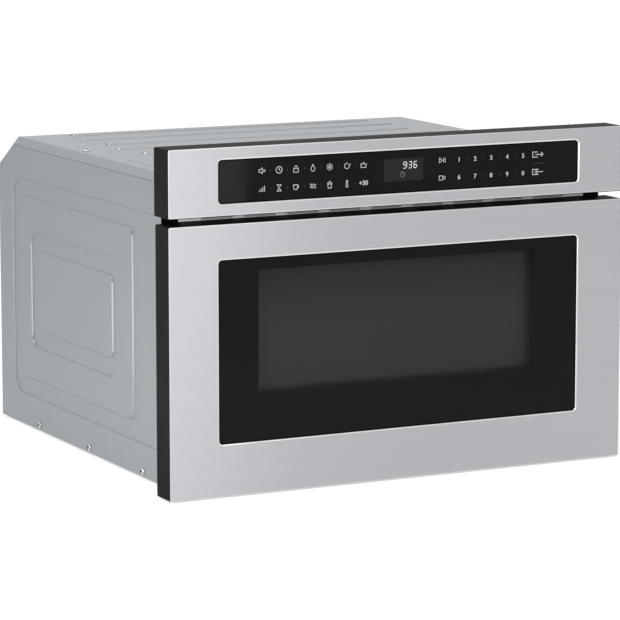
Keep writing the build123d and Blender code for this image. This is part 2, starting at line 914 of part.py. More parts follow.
def drawer_pan():
    """The steel pan that the door carries, closed at the front by the door."""
    rim_z = pan_top - pan_sheet
    body = Pos(0, 0, pan_bottom) * extrude(pan_outline(pan_half, pan_rear, pan_corner), pan_height)
    rim_outline = pan_outline(pan_half + pan_rim, pan_rear + pan_rim, pan_corner + pan_rim)
    body += Pos(0, 0, rim_z) * extrude(rim_outline, pan_sheet)
    inner = pan_outline(pan_half - pan_sheet, pan_rear - pan_sheet, pan_corner - pan_sheet)
    body -= Pos(0, 0, pan_bottom + pan_sheet) * extrude(inner, pan_height)
    flange_y = (inner_back, inner_back + pan_sheet)
    flange_x = (pan_half, pan_half + pan_front_flange)
    side_flange = block(flange_x, flange_y, (pan_bottom, pan_top))
    body += side_flange
    body += other_side(side_flange)
    below = (pan_bottom - pan_front_flange, pan_bottom)
    return body + block((-pan_half, pan_half), flange_y, below)


def ceramic_tray():
    """The flat ceramic floor that lies in the pan."""
    half = pan_half - pan_sheet - tray_play
    back = pan_rear - pan_sheet - tray_play
    start = inner_back + choke_ring_depth + tray_play
    centre = (start + back) / 2
    plate = Pos(0, centre) * RectangleRounded(2 * half, back - start, pan_corner)
    tray = Pos(0, 0, pan_bottom + pan_sheet) * extrude(plate, tray_sheet)
    return fillet(tray.edges().group_by(Axis.Z)[-1], tray_sheet / 4)


# ---------------------------------------------------------------- slides

def channel(web, open_end, low, high, y):
    """A U-shaped rail: an upright web and two flat lips."""
    x = (min(web[0], open_end), max(web[1], open_end))
    rail = block(x, y, (low, high))
    hollow_x = (web[1], open_end) if open_end > web[1] else (open_end, web[0])
    return rail - block(hollow_x, y, (low + rail_sheet, high - rail_sheet))


def rail_outer():
    web = (bracket_inside - rail_sheet, bracket_inside)
    y = (rail_front, rail_front + rail_length)
    return channel(web, outer_rail_end, rail_bottom, rail_top, y)


def rail_middle():
    web = (middle_inside, middle_outside)
    y = (rail_front, rail_front + rail_length)
    return channel(web, outer_rail_end, rail_bottom + rail_step, rail_top - rail_step, y)


def rail_inner():
    web = (inner_rail_web, inner_rail_web + rail_sheet)
    y = (rail_front, rail_front + rail_length)
    low = rail_bottom + 2 * rail_step
    high = rail_top - 2 * rail_step
    return channel(web, middle_inside - rail_play, low, high, y)


def rail_bracket():
    """The angle that stands on the base and carries the outer rail."""
    y = (rail_front, rail_front + rail_length)
    web = block((bracket_inside, bracket_outside), y, (base_top, rail_top + rail_sheet))
    foot_x = (bracket_outside - bracket_foot, bracket_outside)
    return web + block(foot_x, y, (base_top, base_top + bracket_sheet))


def side_arm():
    """The arm that carries the door and the pan on the inner rail."""
    y = (inner_back, rail_front + rail_length)
    web = block((arm_inside, inner_rail_web), y, (arm_low, arm_high))
    foot_y = (inner_back, inner_back + arm_sheet)
    return web + block((rack_inside, arm_inside), foot_y, (arm_low, arm_high))


# ---------------------------------------------------------------- rack drive

def rack():
    """A toothed rack with its teeth down, one gap of it over the pinion's top tooth."""
    pitch = pi * rack_module
    start = front + rack_start
    end = start + rack_length
    tip = rack_line - rack_module
    root = rack_line + tooth_root * rack_module
    top = root + rack_body
    slope = tan(radians(pressure_angle))
    half_tip = pitch / 4 - backlash / 4 - rack_module * slope
    half_root = pitch / 4 - backlash / 4 + tooth_root * rack_module * slope
    first = shaft_y + pitch / 2 - floor((shaft_y - start) / pitch) * pitch
    count = floor((end - first - half_root) / pitch) + 1
    corners = [(start, top), (start, root)]
    for tooth in range(count):
        y = first + tooth * pitch
        corners += [(y - half_root, root), (y - half_tip, tip), (y + half_tip, tip), (y + half_root, root)]
    corners += [(end, root), (end, top)]
    plane = Plane(origin=(rack_inside, 0, 0), x_dir=(0, 1, 0), z_dir=(1, 0, 0))
    return extrude(plane * make_face(Polyline(*corners, close=True)), rack_width)


def drive_shaft():
    """The cross shaft that keeps both racks in step."""
    return rod_x(shaft_radius, (-shaft_end, shaft_end), shaft_y, shaft_height)


def rack_pinion():
    """A pinion under its rack, with a tooth straight up at rest."""
    turn = 90
    wheel = gear(rack_module, pinion_teeth, (rack_inside, shaft_end), shaft_y, shaft_height, turn)
    return wheel - rod_x(shaft_radius, (rack_inside, shaft_end), shaft_y, shaft_height)


def rack_pinions():
    return Compound([rack_pinion(), other_side(rack_pinion())])


def drive_gear():
    """The gear on the cross shaft, with a tooth towards the motor at rest."""
    x = (gear_place, gear_place + gear_width)
    hub_x = (gear_place - gear_width / 2, gear_place)
    wheel = gear(gear_module, gear_teeth, x, shaft_y, shaft_height, 0)
    wheel += rod_x(shaft_radius * 2, hub_x, shaft_y, shaft_height)
    return wheel - rod_x(shaft_radius, (hub_x[0], x[1]), shaft_y, shaft_height)


def motor_pinion():
    """The motor's pinion and its shaft, with a gap towards the gear at rest."""
    x = (gear_place, gear_place + gear_width)
    half_pitch = 180 / motor_teeth
    wheel = gear(gear_module, motor_teeth, x, motor_y, shaft_height, half_pitch)
    return wheel + rod_x(motor_shaft_radius, (gear_place, gearbox_face + gearbox_gap), motor_y, shaft_height)


def drive_motor():
    """The gear motor that turns the cross shaft."""
    y = (gearbox_front, gearbox_front + gearbox_width)
    x = (gearbox_face, gearbox_face + gearbox_length)
    box = block(x, y, (base_top + motor_bracket_sheet, gearbox_top))
    box = chamfer(box.edges().filter_by(Axis.X), motor_bracket_sheet)
    middle_y = (y[0] + y[1]) / 2
    can_x = (x[1], x[1] + motor_length)
    can = rod_x(motor_radius, can_x, middle_y, shaft_height)
    box += fillet(can.edges().sort_by(Axis.X)[-1], motor_bracket_sheet)
    bore = motor_shaft_radius + shaft_play
    return box - rod_x(bore, (x[0], x[0] + gearbox_gap + end_play), motor_y, shaft_height)


def motor_bracket():
    """The angle that holds the gear motor to the base."""
    y = (gearbox_front, gearbox_front + gearbox_width)
    x = (gearbox_face - motor_bracket_sheet, gearbox_face)
    plate = block(x, y, (base_top, gearbox_top))
    foot_x = (gearbox_face, gearbox_face + gearbox_length)
    plate += block(foot_x, y, (base_top, base_top + motor_bracket_sheet))
    return plate - rod_x(motor_bore_radius, x, motor_y, shaft_height)


def shaft_support():
    """The upright on the base that holds one end of the cross shaft."""
    y = (shaft_y - support_width / 2, shaft_y + support_width / 2)
    x = (support_inside, support_outside)
    plate = block(x, y, (base_top, support_top))
    foot = block((support_inside - support_foot, support_inside), y, (base_top, base_top + support_sheet))
    return plate + foot - rod_x(bearing_radius, x, shaft_y, shaft_height)


def shaft_supports():
    return Compound([shaft_support(), other_side(shaft_support())])


def shaft_bearing():
    """A flanged bush in the upright."""
    x = (support_inside - bearing_flange, support_outside + bearing_flange)
    bush = rod_x(bearing_radius, x, shaft_y, shaft_height)
    bush += rod_x(bearing_flange_radius, (support_outside, x[1]), shaft_y, shaft_height)
    return bush - rod_x(shaft_radius + shaft_play, x, shaft_y, shaft_height)


def shaft_bearings():
    return Compound([shaft_bearing(), other_side(shaft_bearing())])


# ---------------------------------------------------------------- microwave feed

def waveguide():
    """The duct on the cavity that leads from the magnetron to the stirrer."""
    x = (-guide_width / 2, guide_width / 2)
    duct = block(x, guide_y, (cavity_top, guide_top))
    inside_x = (x[0] + guide_sheet, x[1] - guide_sheet)
    inside_y = (guide_y[0] + guide_sheet, guide_y[1] - guide_sheet)
    duct -= block(inside_x, inside_y, (cavity_top + guide_sheet, guide_top - guide_sheet))
    coupling_x = (-coupling_width / 2, coupling_width / 2)
    coupling_y = (stirrer_y - coupling_depth / 2, stirrer_y + coupling_depth / 2)
    duct -= block(coupling_x, coupling_y, (cavity_top, cavity_top + guide_sheet))
    roof = (guide_top - guide_sheet, guide_top)
    duct -= rod_z(antenna_hole_radius, 0, magnetron_y, roof)
    return duct - rod_z(stirrer_shaft_radius * 2, 0, stirrer_y, roof)


def magnetron():
    """The magnetron: yoke, cooling fins, filter box and the antenna in the waveguide."""
    x = (-magnetron_width / 2, magnetron_width / 2)
    y = (magnetron_y - magnetron_depth / 2, magnetron_y + magnetron_depth / 2)
    body_top = guide_top + magnetron_height
    yoke = block(x, y, (guide_top, body_top))
    hollow_x = (x[0] + magnetron_wall, x[1] - magnetron_wall)
    hollow_z = (guide_top + magnetron_wall, body_top - magnetron_wall)
    yoke -= block(hollow_x, y, hollow_z)
    yoke += rod_z(magnetron_core_radius, 0, magnetron_y, (guide_top, body_top))
    gap = (hollow_z[1] - hollow_z[0]) / (magnetron_fins + 1)
    for step in range(magnetron_fins):
        z = hollow_z[0] + gap * (step + 1)
        yoke += block(hollow_x, y, (z - fin_sheet / 2, z + fin_sheet / 2))
    return yoke + rod_z(antenna_radius, 0, magnetron_y, (guide_top - antenna_length, guide_top))


def stirrer_motor():
    """The small motor on the waveguide over the stirrer."""
    top = guide_top + stirrer_motor_height
    can = rod_z(stirrer_motor_radius, 0, stirrer_y, (guide_top, top))
    can = fillet(can.edges().sort_by(Axis.Z)[-1], stirrer_motor_edge)
    reach = stirrer_motor_radius + stirrer_motor_lug
    lug_y = (stirrer_y - stirrer_motor_radius / 4, stirrer_y + stirrer_motor_radius / 4)
    can += block((-reach, reach), lug_y, (guide_top, guide_top + guide_sheet))
    bore = stirrer_shaft_radius + shaft_play
    return can - rod_z(bore, 0, stirrer_y, (guide_top, top - stirrer_motor_height / 4))


def stirrer_blade():
    """The metal stirrer below the ceiling, on its shaft from the motor."""
    level = cavity_ceiling - stirrer_drop
    shaft_top = guide_top + stirrer_motor_height / 2
    wheel = rod_z(stirrer_radius / 4, 0, stirrer_y, (level, level + stirrer_sheet * 2))
    arm_half = stirrer_radius / 4
    arm_x = (0, stirrer_radius)
    for turn in range(4):
        arm = block(arm_x, (-arm_half, arm_half), (-stirrer_sheet / 2, stirrer_sheet / 2))
        wheel += Pos(0, stirrer_y, level + stirrer_sheet) * Rot(Z=90 * turn) * Rot(X=stirrer_pitch) * arm
    return wheel + rod_z(stirrer_shaft_radius, 0, stirrer_y, (level, shaft_top))


def stirrer_cover():
    """The microwave-clear dish under the stirrer, on the ceiling of the cavity."""
    half = stirrer_cover_size / 2
    low = cavity_ceiling - stirrer_cover_height
    outer = block((-half, half), (stirrer_y - half, stirrer_y + half), (low, cavity_ceiling))
    outer = fillet(outer.edges().filter_by(Axis.Z), stirrer_cover_corner)
    inner_half = half - stirrer_cover_wall
    inner_y = (stirrer_y - inner_half, stirrer_y + inner_half)
    inner = block((-inner_half, inner_half), inner_y, (low + stirrer_cover_wall, cavity_ceiling))
    return outer - fillet(inner.edges().filter_by(Axis.Z), stirrer_cover_corner - stirrer_cover_wall)


# ---------------------------------------------------------------- fan, boards and small pieces

def fan_shroud():
    """The ring and back plate round the fan, with a spider for its motor."""
    outer = fan_radius + fan_tip_gap + fan_ring_wall
    inner = fan_radius + fan_tip_gap
    ring_y = (fan_motor_front, back_inside)
    x, z = fan_centre
    plate_edge = (back_inside - fan_plate, back_inside)
    shroud = block((x - outer, x + outer), plate_edge, (z - outer, z + outer))
    shroud += rod_y(outer, x, ring_y, z)
    shroud -= rod_y(inner, x, ring_y, z)
    spider_y = (fan_motor_front, fan_motor_front + fan_plate)
    middle_y = (spider_y[0] + spider_y[1]) / 2
    reach = (inner + fan_ring_wall / 2)
    shroud += rod_y(fan_motor_radius, x, spider_y, z)
    for turn in range(fan_spokes):
        arm = Pos(reach / 2, 0, 0) * Box(reach, fan_plate, fan_hub_radius / 2)
        shroud += Pos(x, middle_y, z) * Rot(Y=360 * turn / fan_spokes) * arm
    return shroud - rod_y(fan_shaft_radius * 2, x, spider_y, z)


def fan_motor():
    x, z = fan_centre
    y = (fan_motor_front - fan_motor_length, fan_motor_front)
    can = rod_y(fan_motor_radius, x, y, z)
    can = fillet(can.edges().sort_by(Axis.Y)[0], fan_plate)
    return can - rod_y(fan_shaft_radius + shaft_play, x, (fan_motor_front - fan_motor_length / 2, y[1]), z)


def fan_blade():
    """The fan wheel and its shaft."""
    x, z = fan_centre
    wheel_y = (fan_motor_front + 3 * fan_plate, fan_motor_front + 3 * fan_plate + fan_blade_width)
    middle_y = (wheel_y[0] + wheel_y[1]) / 2
    wheel = rod_y(fan_hub_radius, x, wheel_y, z)
    reach = fan_radius - fan_hub_radius / 2
    for turn in range(fan_blades):
        vane = Rot(X=fan_blade_pitch) * Box(reach, fan_blade_sheet, fan_blade_width)
        vane = Pos(fan_hub_radius / 2 + reach / 2, 0, 0) * vane
        wheel += Pos(x, middle_y, z) * Rot(Y=360 * turn / fan_blades) * vane
    shaft_y_span = (fan_motor_front - fan_motor_length / 2 + end_play, wheel_y[1])
    return wheel + rod_y(fan_shaft_radius, x, shaft_y_span, z)


def standing_board(x, y, blocks):
    """A circuit board on four posts on the cavity. Each block has its edges as shares of
    the board (left, right, near, far) and its height."""
    low = cavity_top + board_lift
    board = block(x, y, (low, low + board_sheet))
    inset = boss_radius
    for post_x in (x[0] + inset, x[1] - inset):
        for post_y in (y[0] + inset, y[1] - inset):
            board += rod_z(boss_radius / 2, post_x, post_y, (cavity_top, low))
    for (left, right, near, far, tall) in blocks:
        block_x = (x[0] + left * (x[1] - x[0]), x[0] + right * (x[1] - x[0]))
        block_y = (y[0] + near * (y[1] - y[0]), y[0] + far * (y[1] - y[0]))
        board += block(block_x, block_y, (low + board_sheet, low + board_sheet + tall))
    return board


def inverter_board():
    """The power supply: board, transformer, heat sink and capacitors."""
    x = (inverter_place, inverter_place + inverter_width)
    y = (front + inverter_front, front + inverter_front + inverter_depth)
    transformer = (0.08, 0.52, 0.1, 0.45, transformer_height)
    heat_sink = (0.62, 0.9, 0.1, 0.55, heat_sink_height)
    capacitor = (0.1, 0.4, 0.6, 0.85, capacitor_height)
    return standing_board(x, y, [transformer, heat_sink, capacitor])


def noise_filter():
    """The mains filter board at the back left of the cavity."""
    x = (-inverter_place - filter_width, -inverter_place)
    y = (cavity_rear - filter_depth, cavity_rear)
    capacitor = (0.1, 0.45, 0.2, 0.8, capacitor_height)
    coil = (0.6, 0.9, 0.2, 0.7, coil_height)
    return standing_board(x, y, [capacitor, coil])


def lamp_centre():
    return -cavity_half / 2, front + stirrer_setback + cavity_depth / 4


def oven_lamp():
    """The lamp in its holder over a hole in the ceiling."""
    x, y = lamp_centre()
    half = lamp_box / 2
    holder = block((x - half, x + half), (y - half, y + half), (cavity_top, cavity_top + lamp_box))
    hollow_z = (cavity_top, cavity_top + lamp_box - lamp_roof)
    inner = half - lamp_wall
    holder -= block((x - inner, x + inner), (y - inner, y + inner), hollow_z)
    bulb = rod_z(bulb_radius, x, y, (cavity_top + lamp_box / 4, hollow_z[1]))
    return holder + bulb


def thermal_cutouts():
    """Two round safety thermostats on the ceiling."""
    discs = []
    for side in (-1, 1):
        x = side * (guide_width / 2 + cutout_radius * 2)
        y = front + guide_front + guide_length / 2
        disc = rod_z(cutout_radius, x, y, (cavity_top, cavity_top + cutout_height))
        tab_x = (x - cutout_radius / 2, x + cutout_radius / 2)
        tab = block(tab_x, (y, y + guide_sheet), (cavity_top, cavity_top + cutout_height * 2))
        discs.append(disc + tab)
    return Compound(discs)


def exhaust_duct():
    """The duct behind the vent that lets the cooling air out at the front."""
    y = (frame_back + vent_sheet, frame_back + vent_sheet + duct_depth)
    duct_width = vent_width - 2 * duct_side
    x = (-duct_width / 2, duct_width / 2)
    z = (vent_low - vent_lap, vent_high + vent_lap)
    duct = block(x, y, z)
    inner_z = (z[0] + duct_wall, z[1] - duct_wall)
    duct -= block((x[0] + duct_wall, x[1] - duct_wall), (y[0], y[1] - duct_wall), inner_z)
    for leg_x in (x[0], x[1] - duct_wall):
        duct += block((leg_x, leg_x + duct_wall), (y[0] + duct_depth / 2, y[1]), (cavity_top, z[0]))
    throat_y = (y[0] + duct_depth / 2, y[1] - duct_wall * 4)
    throat = block((-duct_width / 4, duct_width / 4), throat_y, (z[0], inner_z[0]))
    return duct - throat


def switch_bracket():
    """The shelf behind the front frame that holds one pair of door switches."""
    low = hook_height - hook_tall
    x = (hook_place + hook_sheet * 2, side_inside - frame_sheet * 2)
    upright = block(x, (frame_back, frame_back + hook_sheet), (low, hook_height + hook_tall))
    shelf = block(x, (frame_back, frame_back + switch_shelf), (low, low + hook_sheet))
    return upright + shelf


def switch_brackets():
    return Compound([switch_bracket(), other_side(switch_bracket())])


def interlock_switch():
    """A door switch on its shelf, with the plunger beside the hook."""
    low = hook_height - hook_tall + hook_sheet
    x = (hook_place + hook_sheet * 2, hook_place + hook_sheet * 2 + hook_tall / 2)
    y = (frame_back + hook_sheet * 2, frame_back + hook_sheet * 2 + hook_reach)
    body = block(x, y, (low, low + hook_tall))
    body = chamfer(body.edges().filter_by(Axis.X), hook_sheet / 2)
    plunger_y = (y[0] + y[1]) / 2
    plunger_x = (x[0] - hook_sheet / 2, x[0])
    return body + rod_x(hook_sheet / 2, plunger_x, plunger_y, hook_height - hook_sheet)


def interlock_switches():
    return Compound([interlock_switch(), other_side(interlock_switch())])


# ---------------------------------------------------------------- all pieces

pieces = {
    "base_plate": base_plate(),
    "side_panel_right": side_panel(),
    "side_panel_left": other_side(side_panel()),
    "top_cover": top_cover(),
    "back_panel": back_panel(),
    "front_frame": front_frame(),
    "vent_grille": vent_grille(),
    "case_screws": case_screws(),
    "cord_gland": cord_gland(),
    "cavity_shell": cavity_shell(),
    "control_fascia": control_fascia(),
    "control_housing": control_housing(),
    "touch_glass": touch_glass(),
    "display_module": display_module(),
    "control_board": control_board(),
    "waveguide": waveguide(),
    "magnetron": magnetron(),
    "stirrer_motor": stirrer_motor(),
    "stirrer_blade": stirrer_blade(),
    "stirrer_cover": stirrer_cover(),
    "fan_shroud": fan_shroud(),
    "fan_motor": fan_motor(),
    "fan_blade": fan_blade(),
    "exhaust_duct": exhaust_duct(),
    "inverter_board": inverter_board(),
    "noise_filter": noise_filter(),
    "oven_lamp": oven_lamp(),
    "thermal_cutouts": thermal_cutouts(),
    "switch_brackets": switch_brackets(),
    "interlock_switches": interlock_switches(),
    "rail_bracket_right": rail_bracket(),
    "rail_bracket_left": other_side(rail_bracket()),
    "rail_outer_right": rail_outer(),
    "rail_outer_left": other_side(rail_outer()),
    "rail_middle_right": rail_middle(),
    "rail_middle_left": other_side(rail_middle()),
    "rail_inner_right": rail_inner(),
    "rail_inner_left": other_side(rail_inner()),
    "side_arm_right": side_arm(),
    "side_arm_left": other_side(side_arm()),
    "rack_right": rack(),
    "rack_left": other_side(rack()),
    "drive_shaft": drive_shaft(),
    "rack_pinions": rack_pinions(),
    "drive_gear": drive_gear(),
    "shaft_supports": shaft_supports(),
    "shaft_bearings": shaft_bearings(),
    "drive_motor": drive_motor(),
    "motor_bracket": motor_bracket(),
    "motor_pinion": motor_pinion(),
    "drawer_pan": drawer_pan(),
    "ceramic_tray": ceramic_tray(),
    "door_skin": door_skin(),
    "door_frame": door_frame(),
    "door_glass": door_glass(),
    "door_inner_plate": door_inner_plate(),
    "inner_window": inner_window(),
    "choke_cover": choke_cover(),
    "door_hooks": door_hooks(),
    "door_screws": door_screws(),
}

os.makedirs("parts", exist_ok=True)
for name, piece in pieces.items():
    export_step(piece, f"parts/{name}.step")
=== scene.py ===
"""Looks of a built-in microwave drawer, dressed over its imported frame.

Lengths are millimetres in the frame's own axes, except where a comment says metres.
"""
import json
import math

import bmesh
import bpy
from mathutils import Matrix, Vector

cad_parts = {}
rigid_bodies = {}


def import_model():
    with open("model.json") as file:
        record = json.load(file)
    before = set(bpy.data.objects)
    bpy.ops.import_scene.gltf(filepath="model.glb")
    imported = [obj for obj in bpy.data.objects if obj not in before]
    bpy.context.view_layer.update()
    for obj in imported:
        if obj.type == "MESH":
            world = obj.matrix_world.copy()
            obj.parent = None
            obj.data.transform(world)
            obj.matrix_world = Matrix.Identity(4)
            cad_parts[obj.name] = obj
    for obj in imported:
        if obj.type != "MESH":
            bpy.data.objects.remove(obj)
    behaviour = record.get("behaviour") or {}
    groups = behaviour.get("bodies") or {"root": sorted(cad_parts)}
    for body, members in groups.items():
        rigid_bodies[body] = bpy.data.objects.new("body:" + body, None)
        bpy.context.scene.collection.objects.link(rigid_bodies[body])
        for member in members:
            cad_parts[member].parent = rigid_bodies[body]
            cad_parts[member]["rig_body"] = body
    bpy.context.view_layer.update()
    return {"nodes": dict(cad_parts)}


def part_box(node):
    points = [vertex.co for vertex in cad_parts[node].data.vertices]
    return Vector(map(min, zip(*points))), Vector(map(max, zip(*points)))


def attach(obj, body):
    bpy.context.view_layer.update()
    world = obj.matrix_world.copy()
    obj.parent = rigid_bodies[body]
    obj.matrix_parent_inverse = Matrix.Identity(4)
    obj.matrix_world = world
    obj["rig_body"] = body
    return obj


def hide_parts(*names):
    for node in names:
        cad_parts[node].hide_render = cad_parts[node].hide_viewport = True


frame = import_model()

MM = 0.001

# Steel skins of the door and the control panel, and their openings
OPENING_HALF = 240.4
OPENING_CORNER = 5.0
OPENING_BAND = 1.5
OPENING_FALL = 0.6
DOOR_OPENING = (63.2, 279.6)
PANEL_OPENING = (344.35, 395.65)
FOLD_SHEET = 0.28
FOLD_REACH = 0.9
PANEL_FOOT = 0.05
EDGE_BAND = 1.1
EDGE_FALL = 0.14
SKIN_CORNER = 0.8
SKIN_ANGLE = 8
BORDER = 1.7

# Rounded copies of CAD nodes
WELD = 0.01
FLAT_ANGLE = 0.4
SHARP_ANGLE = 28
ROUND_SEGMENTS = 2
BEND_AREA = 0.002
BEND_TILT = 0.96

# Top cover
BEAD_WIDTH = 3.0
BEAD_HEIGHT = 0.6
BEAD_TAPER = 6.0
BEAD_TIP = 0.1
CREASE_X = 257.6
CREASE_Y = (-236.0, -70.0)
RIB_HEIGHT = 1.2

# Screen behind the vent slots
SCREEN_GAP = 0.15
SCREEN_SHEET = 0.15
SCREEN_OVERLAP = 6.0
SCREEN_LIFT = 0.6

# Screws; all but the height and the spread are shares of the head's radius or height
SCREW_HEAD = 2.2
SCREW_SPREAD = 1.15
SCREW_ANGLE = 40
TOP_SCREWS_ABOVE = 300.0
HEAD_RINGS = (0.68, 0.8, 0.9, 0.97, 1.0)
HEAD_FALL = 0.75
HEAD_POINTS = 24
RECESS_HALF = 0.2
RECESS_REACH = 0.6
RECESS_TAPER = 0.7
RECESS_FLOOR = 0.15
SHANK = 0.5

# Printing
PRINT_SHEET = 0.05
DIGIT_SHARE = 0.73
DIGIT_WEIGHT = 0.17

# Door window and its screen, in metres
DOOR_WINDOW = (-189.0 * MM, 179.8 * MM, 119.9 * MM, 265.5 * MM)
PRINT_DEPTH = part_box("door_glass")[0].y + 1.0 * MM
WINDOW_TINT = 0.84
# Painted shade on the screen: heights in metres where it darkens towards its top, then towards its
# foot
SCREEN_TOP_SHADE = (0.195, 0.264)
SCREEN_FOOT_SHADE = (0.1165, 0.1255)
SCREEN_PITCH = 0.00175

# Studio, in metres and watts: each lamp has a name, place, target, size and power
WORLD_LEVEL = 0.55
FLOOR_SIZE = 14.0
FLOOR_SHOWN = 0.6
LAMPS = (
    ("key", (-0.8, -0.31, 0.135), (-0.276, -0.31, 0.135), (0.66, 0.27), 1.4),
    ("front", (-0.08, -1.2, 0.47), (-0.08, 0, 0.47), (0.62, 0.64), 1.95),
    ("top", (0.45, -0.1, 1.9), (0.1, 0, 0.3), (1.2, 1.2), 3.9),
    ("corner", (-1.25, 0.2, 1.13), (-0.276, 0.05, 0.2), (0.14, 0.6), 1.45),
    ("rib", (-0.5, 0.4, 1.9), (-0.15, 0, 0.37), (0.26, 0.26), 5.5),
)
CAMERA_PLACE = (-1.880565, -3.782438, 0.837450)
CAMERA_AZIMUTH = 26.75309
CAMERA_PITCH = 9.07635
CAMERA_LENS = 196.5893
CAMERA_SENSOR = 36.0


# ---------------------------------------------------------------- node helpers

class Paint:
    """A node material with short helpers for its nodes and links."""

    def __init__(self, name):
        self.material = bpy.data.materials.new(name)
        self.material.use_nodes = True
        self.tree = self.material.node_tree
        self.tree.nodes.clear()
        self.output = self.add("ShaderNodeOutputMaterial")

    def add(self, kind, **sockets):
        """A node with numbers on its sockets; an underscore stands for a space."""
        node = self.tree.nodes.new(kind)
        for key, value in sockets.items():
            node.inputs[key.replace("_", " ")].default_value = value
        return node

    def link(self, source, target):
        self.tree.links.new(source, target)

    def place(self, scale=(1, 1, 1)):
        """Object-space coordinates in metres, stretched."""
        coordinates = self.add("ShaderNodeTexCoord")
        mapping = self.add("ShaderNodeMapping")
        mapping.inputs["Scale"].default_value = scale
        self.link(coordinates.outputs["Object"], mapping.inputs["Vector"])
        return mapping.outputs["Vector"]

    def split(self, vector):
        """The X, Y and Z of a vector, by name."""
        parts = self.add("ShaderNodeSeparateXYZ")
        self.link(vector, parts.inputs["Vector"])
        return parts.outputs

    def noise(self, vector, scale, detail=3.0):
        noise = self.add("ShaderNodeTexNoise", Scale=scale, Detail=detail)
        self.link(vector, noise.inputs["Vector"])
        return noise.outputs["Fac"]

    def spread(self, value, low, high, source=(0.3, 0.7)):
        """A value mapped from the given source range to low..high."""
        spread = self.add("ShaderNodeMapRange")
        spread.inputs["From Min"].default_value = source[0]
        spread.inputs["From Max"].default_value = source[1]
        spread.inputs["To Min"].default_value = low
        spread.inputs["To Max"].default_value = high
        self.link(value, spread.inputs["Value"])
        return spread.outputs["Result"]

    def shade(self, value, low, high, source=(0.3, 0.7)):
        """A colour between two, by a value."""
        ramp = self.add("ShaderNodeValToRGB")
        for stop, position, color in zip(ramp.color_ramp.elements, source, (low, high)):
            stop.position = position
            stop.color = (*color, 1)
        self.link(value, ramp.inputs["Fac"])
        return ramp.outputs["Color"]

    def sum(self, operation, value, other=None):
        """One step of arithmetic on a value, with a number or another value."""
        step = self.add("ShaderNodeMath")
        step.operation = operation
        self.link(value, step.inputs[0])
        if isinstance(other, (int, float)):
            step.inputs[1].default_value = other
        elif other is not None:
            self.link(other, step.inputs[1])
        return step.outputs[0]

    def multiply(self, first, second):
        """Two colours multiplied."""
        mixed = self.add("ShaderNodeMixRGB", Fac=1.0)
        mixed.blend_type = "MULTIPLY"
        self.link(first, mixed.inputs["Color1"])
        self.link(second, mixed.inputs["Color2"])
        return mixed.outputs["Color"]

    def mix(self, share, first, second):
        """Two shaders mixed by a share."""
        mixed = self.add("ShaderNodeMixShader")
        self.link(share, mixed.inputs["Fac"])
        self.link(first.outputs[0], mixed.inputs[1])
        self.link(second.outputs[0], mixed.inputs[2])
        return mixed

    def bump(self, height, strength, distance):
        bump = self.add("ShaderNodeBump", Strength=strength, Distance=distance)
        self.link(height, bump.inputs["Height"])
        return bump.outputs["Normal"]

    def principled(self, color=None, roughness=None, normal=None, **fixed):
        """The main shader, with what varies linked and the rest fixed."""
        shader = self.add("ShaderNodeBsdfPrincipled", **fixed)
        for value, socket in ((color, "Base Color"), (roughness, "Roughness"), (normal, "Normal")):
            if value is not None:
                self.link(value, shader.inputs[socket])
        return shader

    def finish(self, shader):
        self.link(shader.outputs[0], self.output.inputs["Surface"])
        return self.material


def scaled(color, factor):
    return tuple(min(1.0, part * factor) for part in color)


def grey(level):
    return level, level, level


# ---------------------------------------------------------------- materials

def brushed_steel(name, color, roughness):
    """Steel with fine horizontal brushing."""
    paint = Paint(name)
    strokes = paint.noise(paint.place((4, 40, 1400)), 1.0, detail=5)
    broad = paint.noise(paint.place((1.5, 10, 160)), 1.0)
    tone = paint.shade(strokes, scaled(color, 0.97), scaled(color, 1.03))
    cloud = paint.shade(broad, grey(0.97), grey(1))
    mixed = paint.multiply(tone, cloud)
    rough = paint.spread(strokes, roughness - 0.03, roughness + 0.03)
    normal = paint.bump(strokes, 0.05, 0.0001)
    tangent = paint.add("ShaderNodeCombineXYZ", Z=1.0)
    shader = paint.principled(mixed, rough, normal, Metallic=1.0, Anisotropic=0.97)
    paint.link(tangent.outputs["Vector"], shader.inputs["Tangent"])
    return paint.finish(shader)


def sheet_metal(name, color, roughness, metallic=1.0):
    """Zinc coated or plain sheet with faint spangle and rolling marks."""
    paint = Paint(name)
    grain = paint.noise(paint.place(), 45.0, detail=4)
    fine = paint.noise(paint.place((1, 0.12, 1)), 700.0, detail=2)
    tone = paint.shade(grain, scaled(color, 0.96), scaled(color, 1.04))
    rough = paint.spread(grain, roughness - 0.05, roughness + 0.05)
    normal = paint.bump(fine, 0.06, 0.0002)
    shader = paint.principled(tone, rough, normal, Metallic=metallic, Specular_IOR_Level=0.3)
    return paint.finish(shader)


def moulded(name, color, roughness, specular, grain=900.0, relief=0.25):
    """Moulded plastic or powder paint with a fine grain."""
    paint = Paint(name)
    vector = paint.place()
    fine = paint.noise(vector, grain, detail=2)
    cloud = paint.noise(vector, 12.0)
    tone = paint.shade(cloud, scaled(color, 0.9), scaled(color, 1.1))
    rough = paint.spread(fine, roughness - 0.06, roughness + 0.06)
    normal = paint.bump(fine, relief, 0.0002)
    shader = paint.principled(tone, rough, normal, Specular_IOR_Level=specular)
    return paint.finish(shader)


def black_gloss(paint, coordinates):
    """Black print under glass."""
    haze = paint.noise(coordinates, 25.0)
    tone = paint.shade(haze, (0.0015, 0.0015, 0.0016), (0.003, 0.003, 0.0032))
    rough = paint.spread(haze, 0.04, 0.09)
    return paint.principled(tone, rough, IOR=1.22)


def black_glass(name):
    """Glass that is printed black all over."""
    paint = Paint(name)
    return paint.finish(black_gloss(paint, paint.add("ShaderNodeTexCoord").outputs["Object"]))


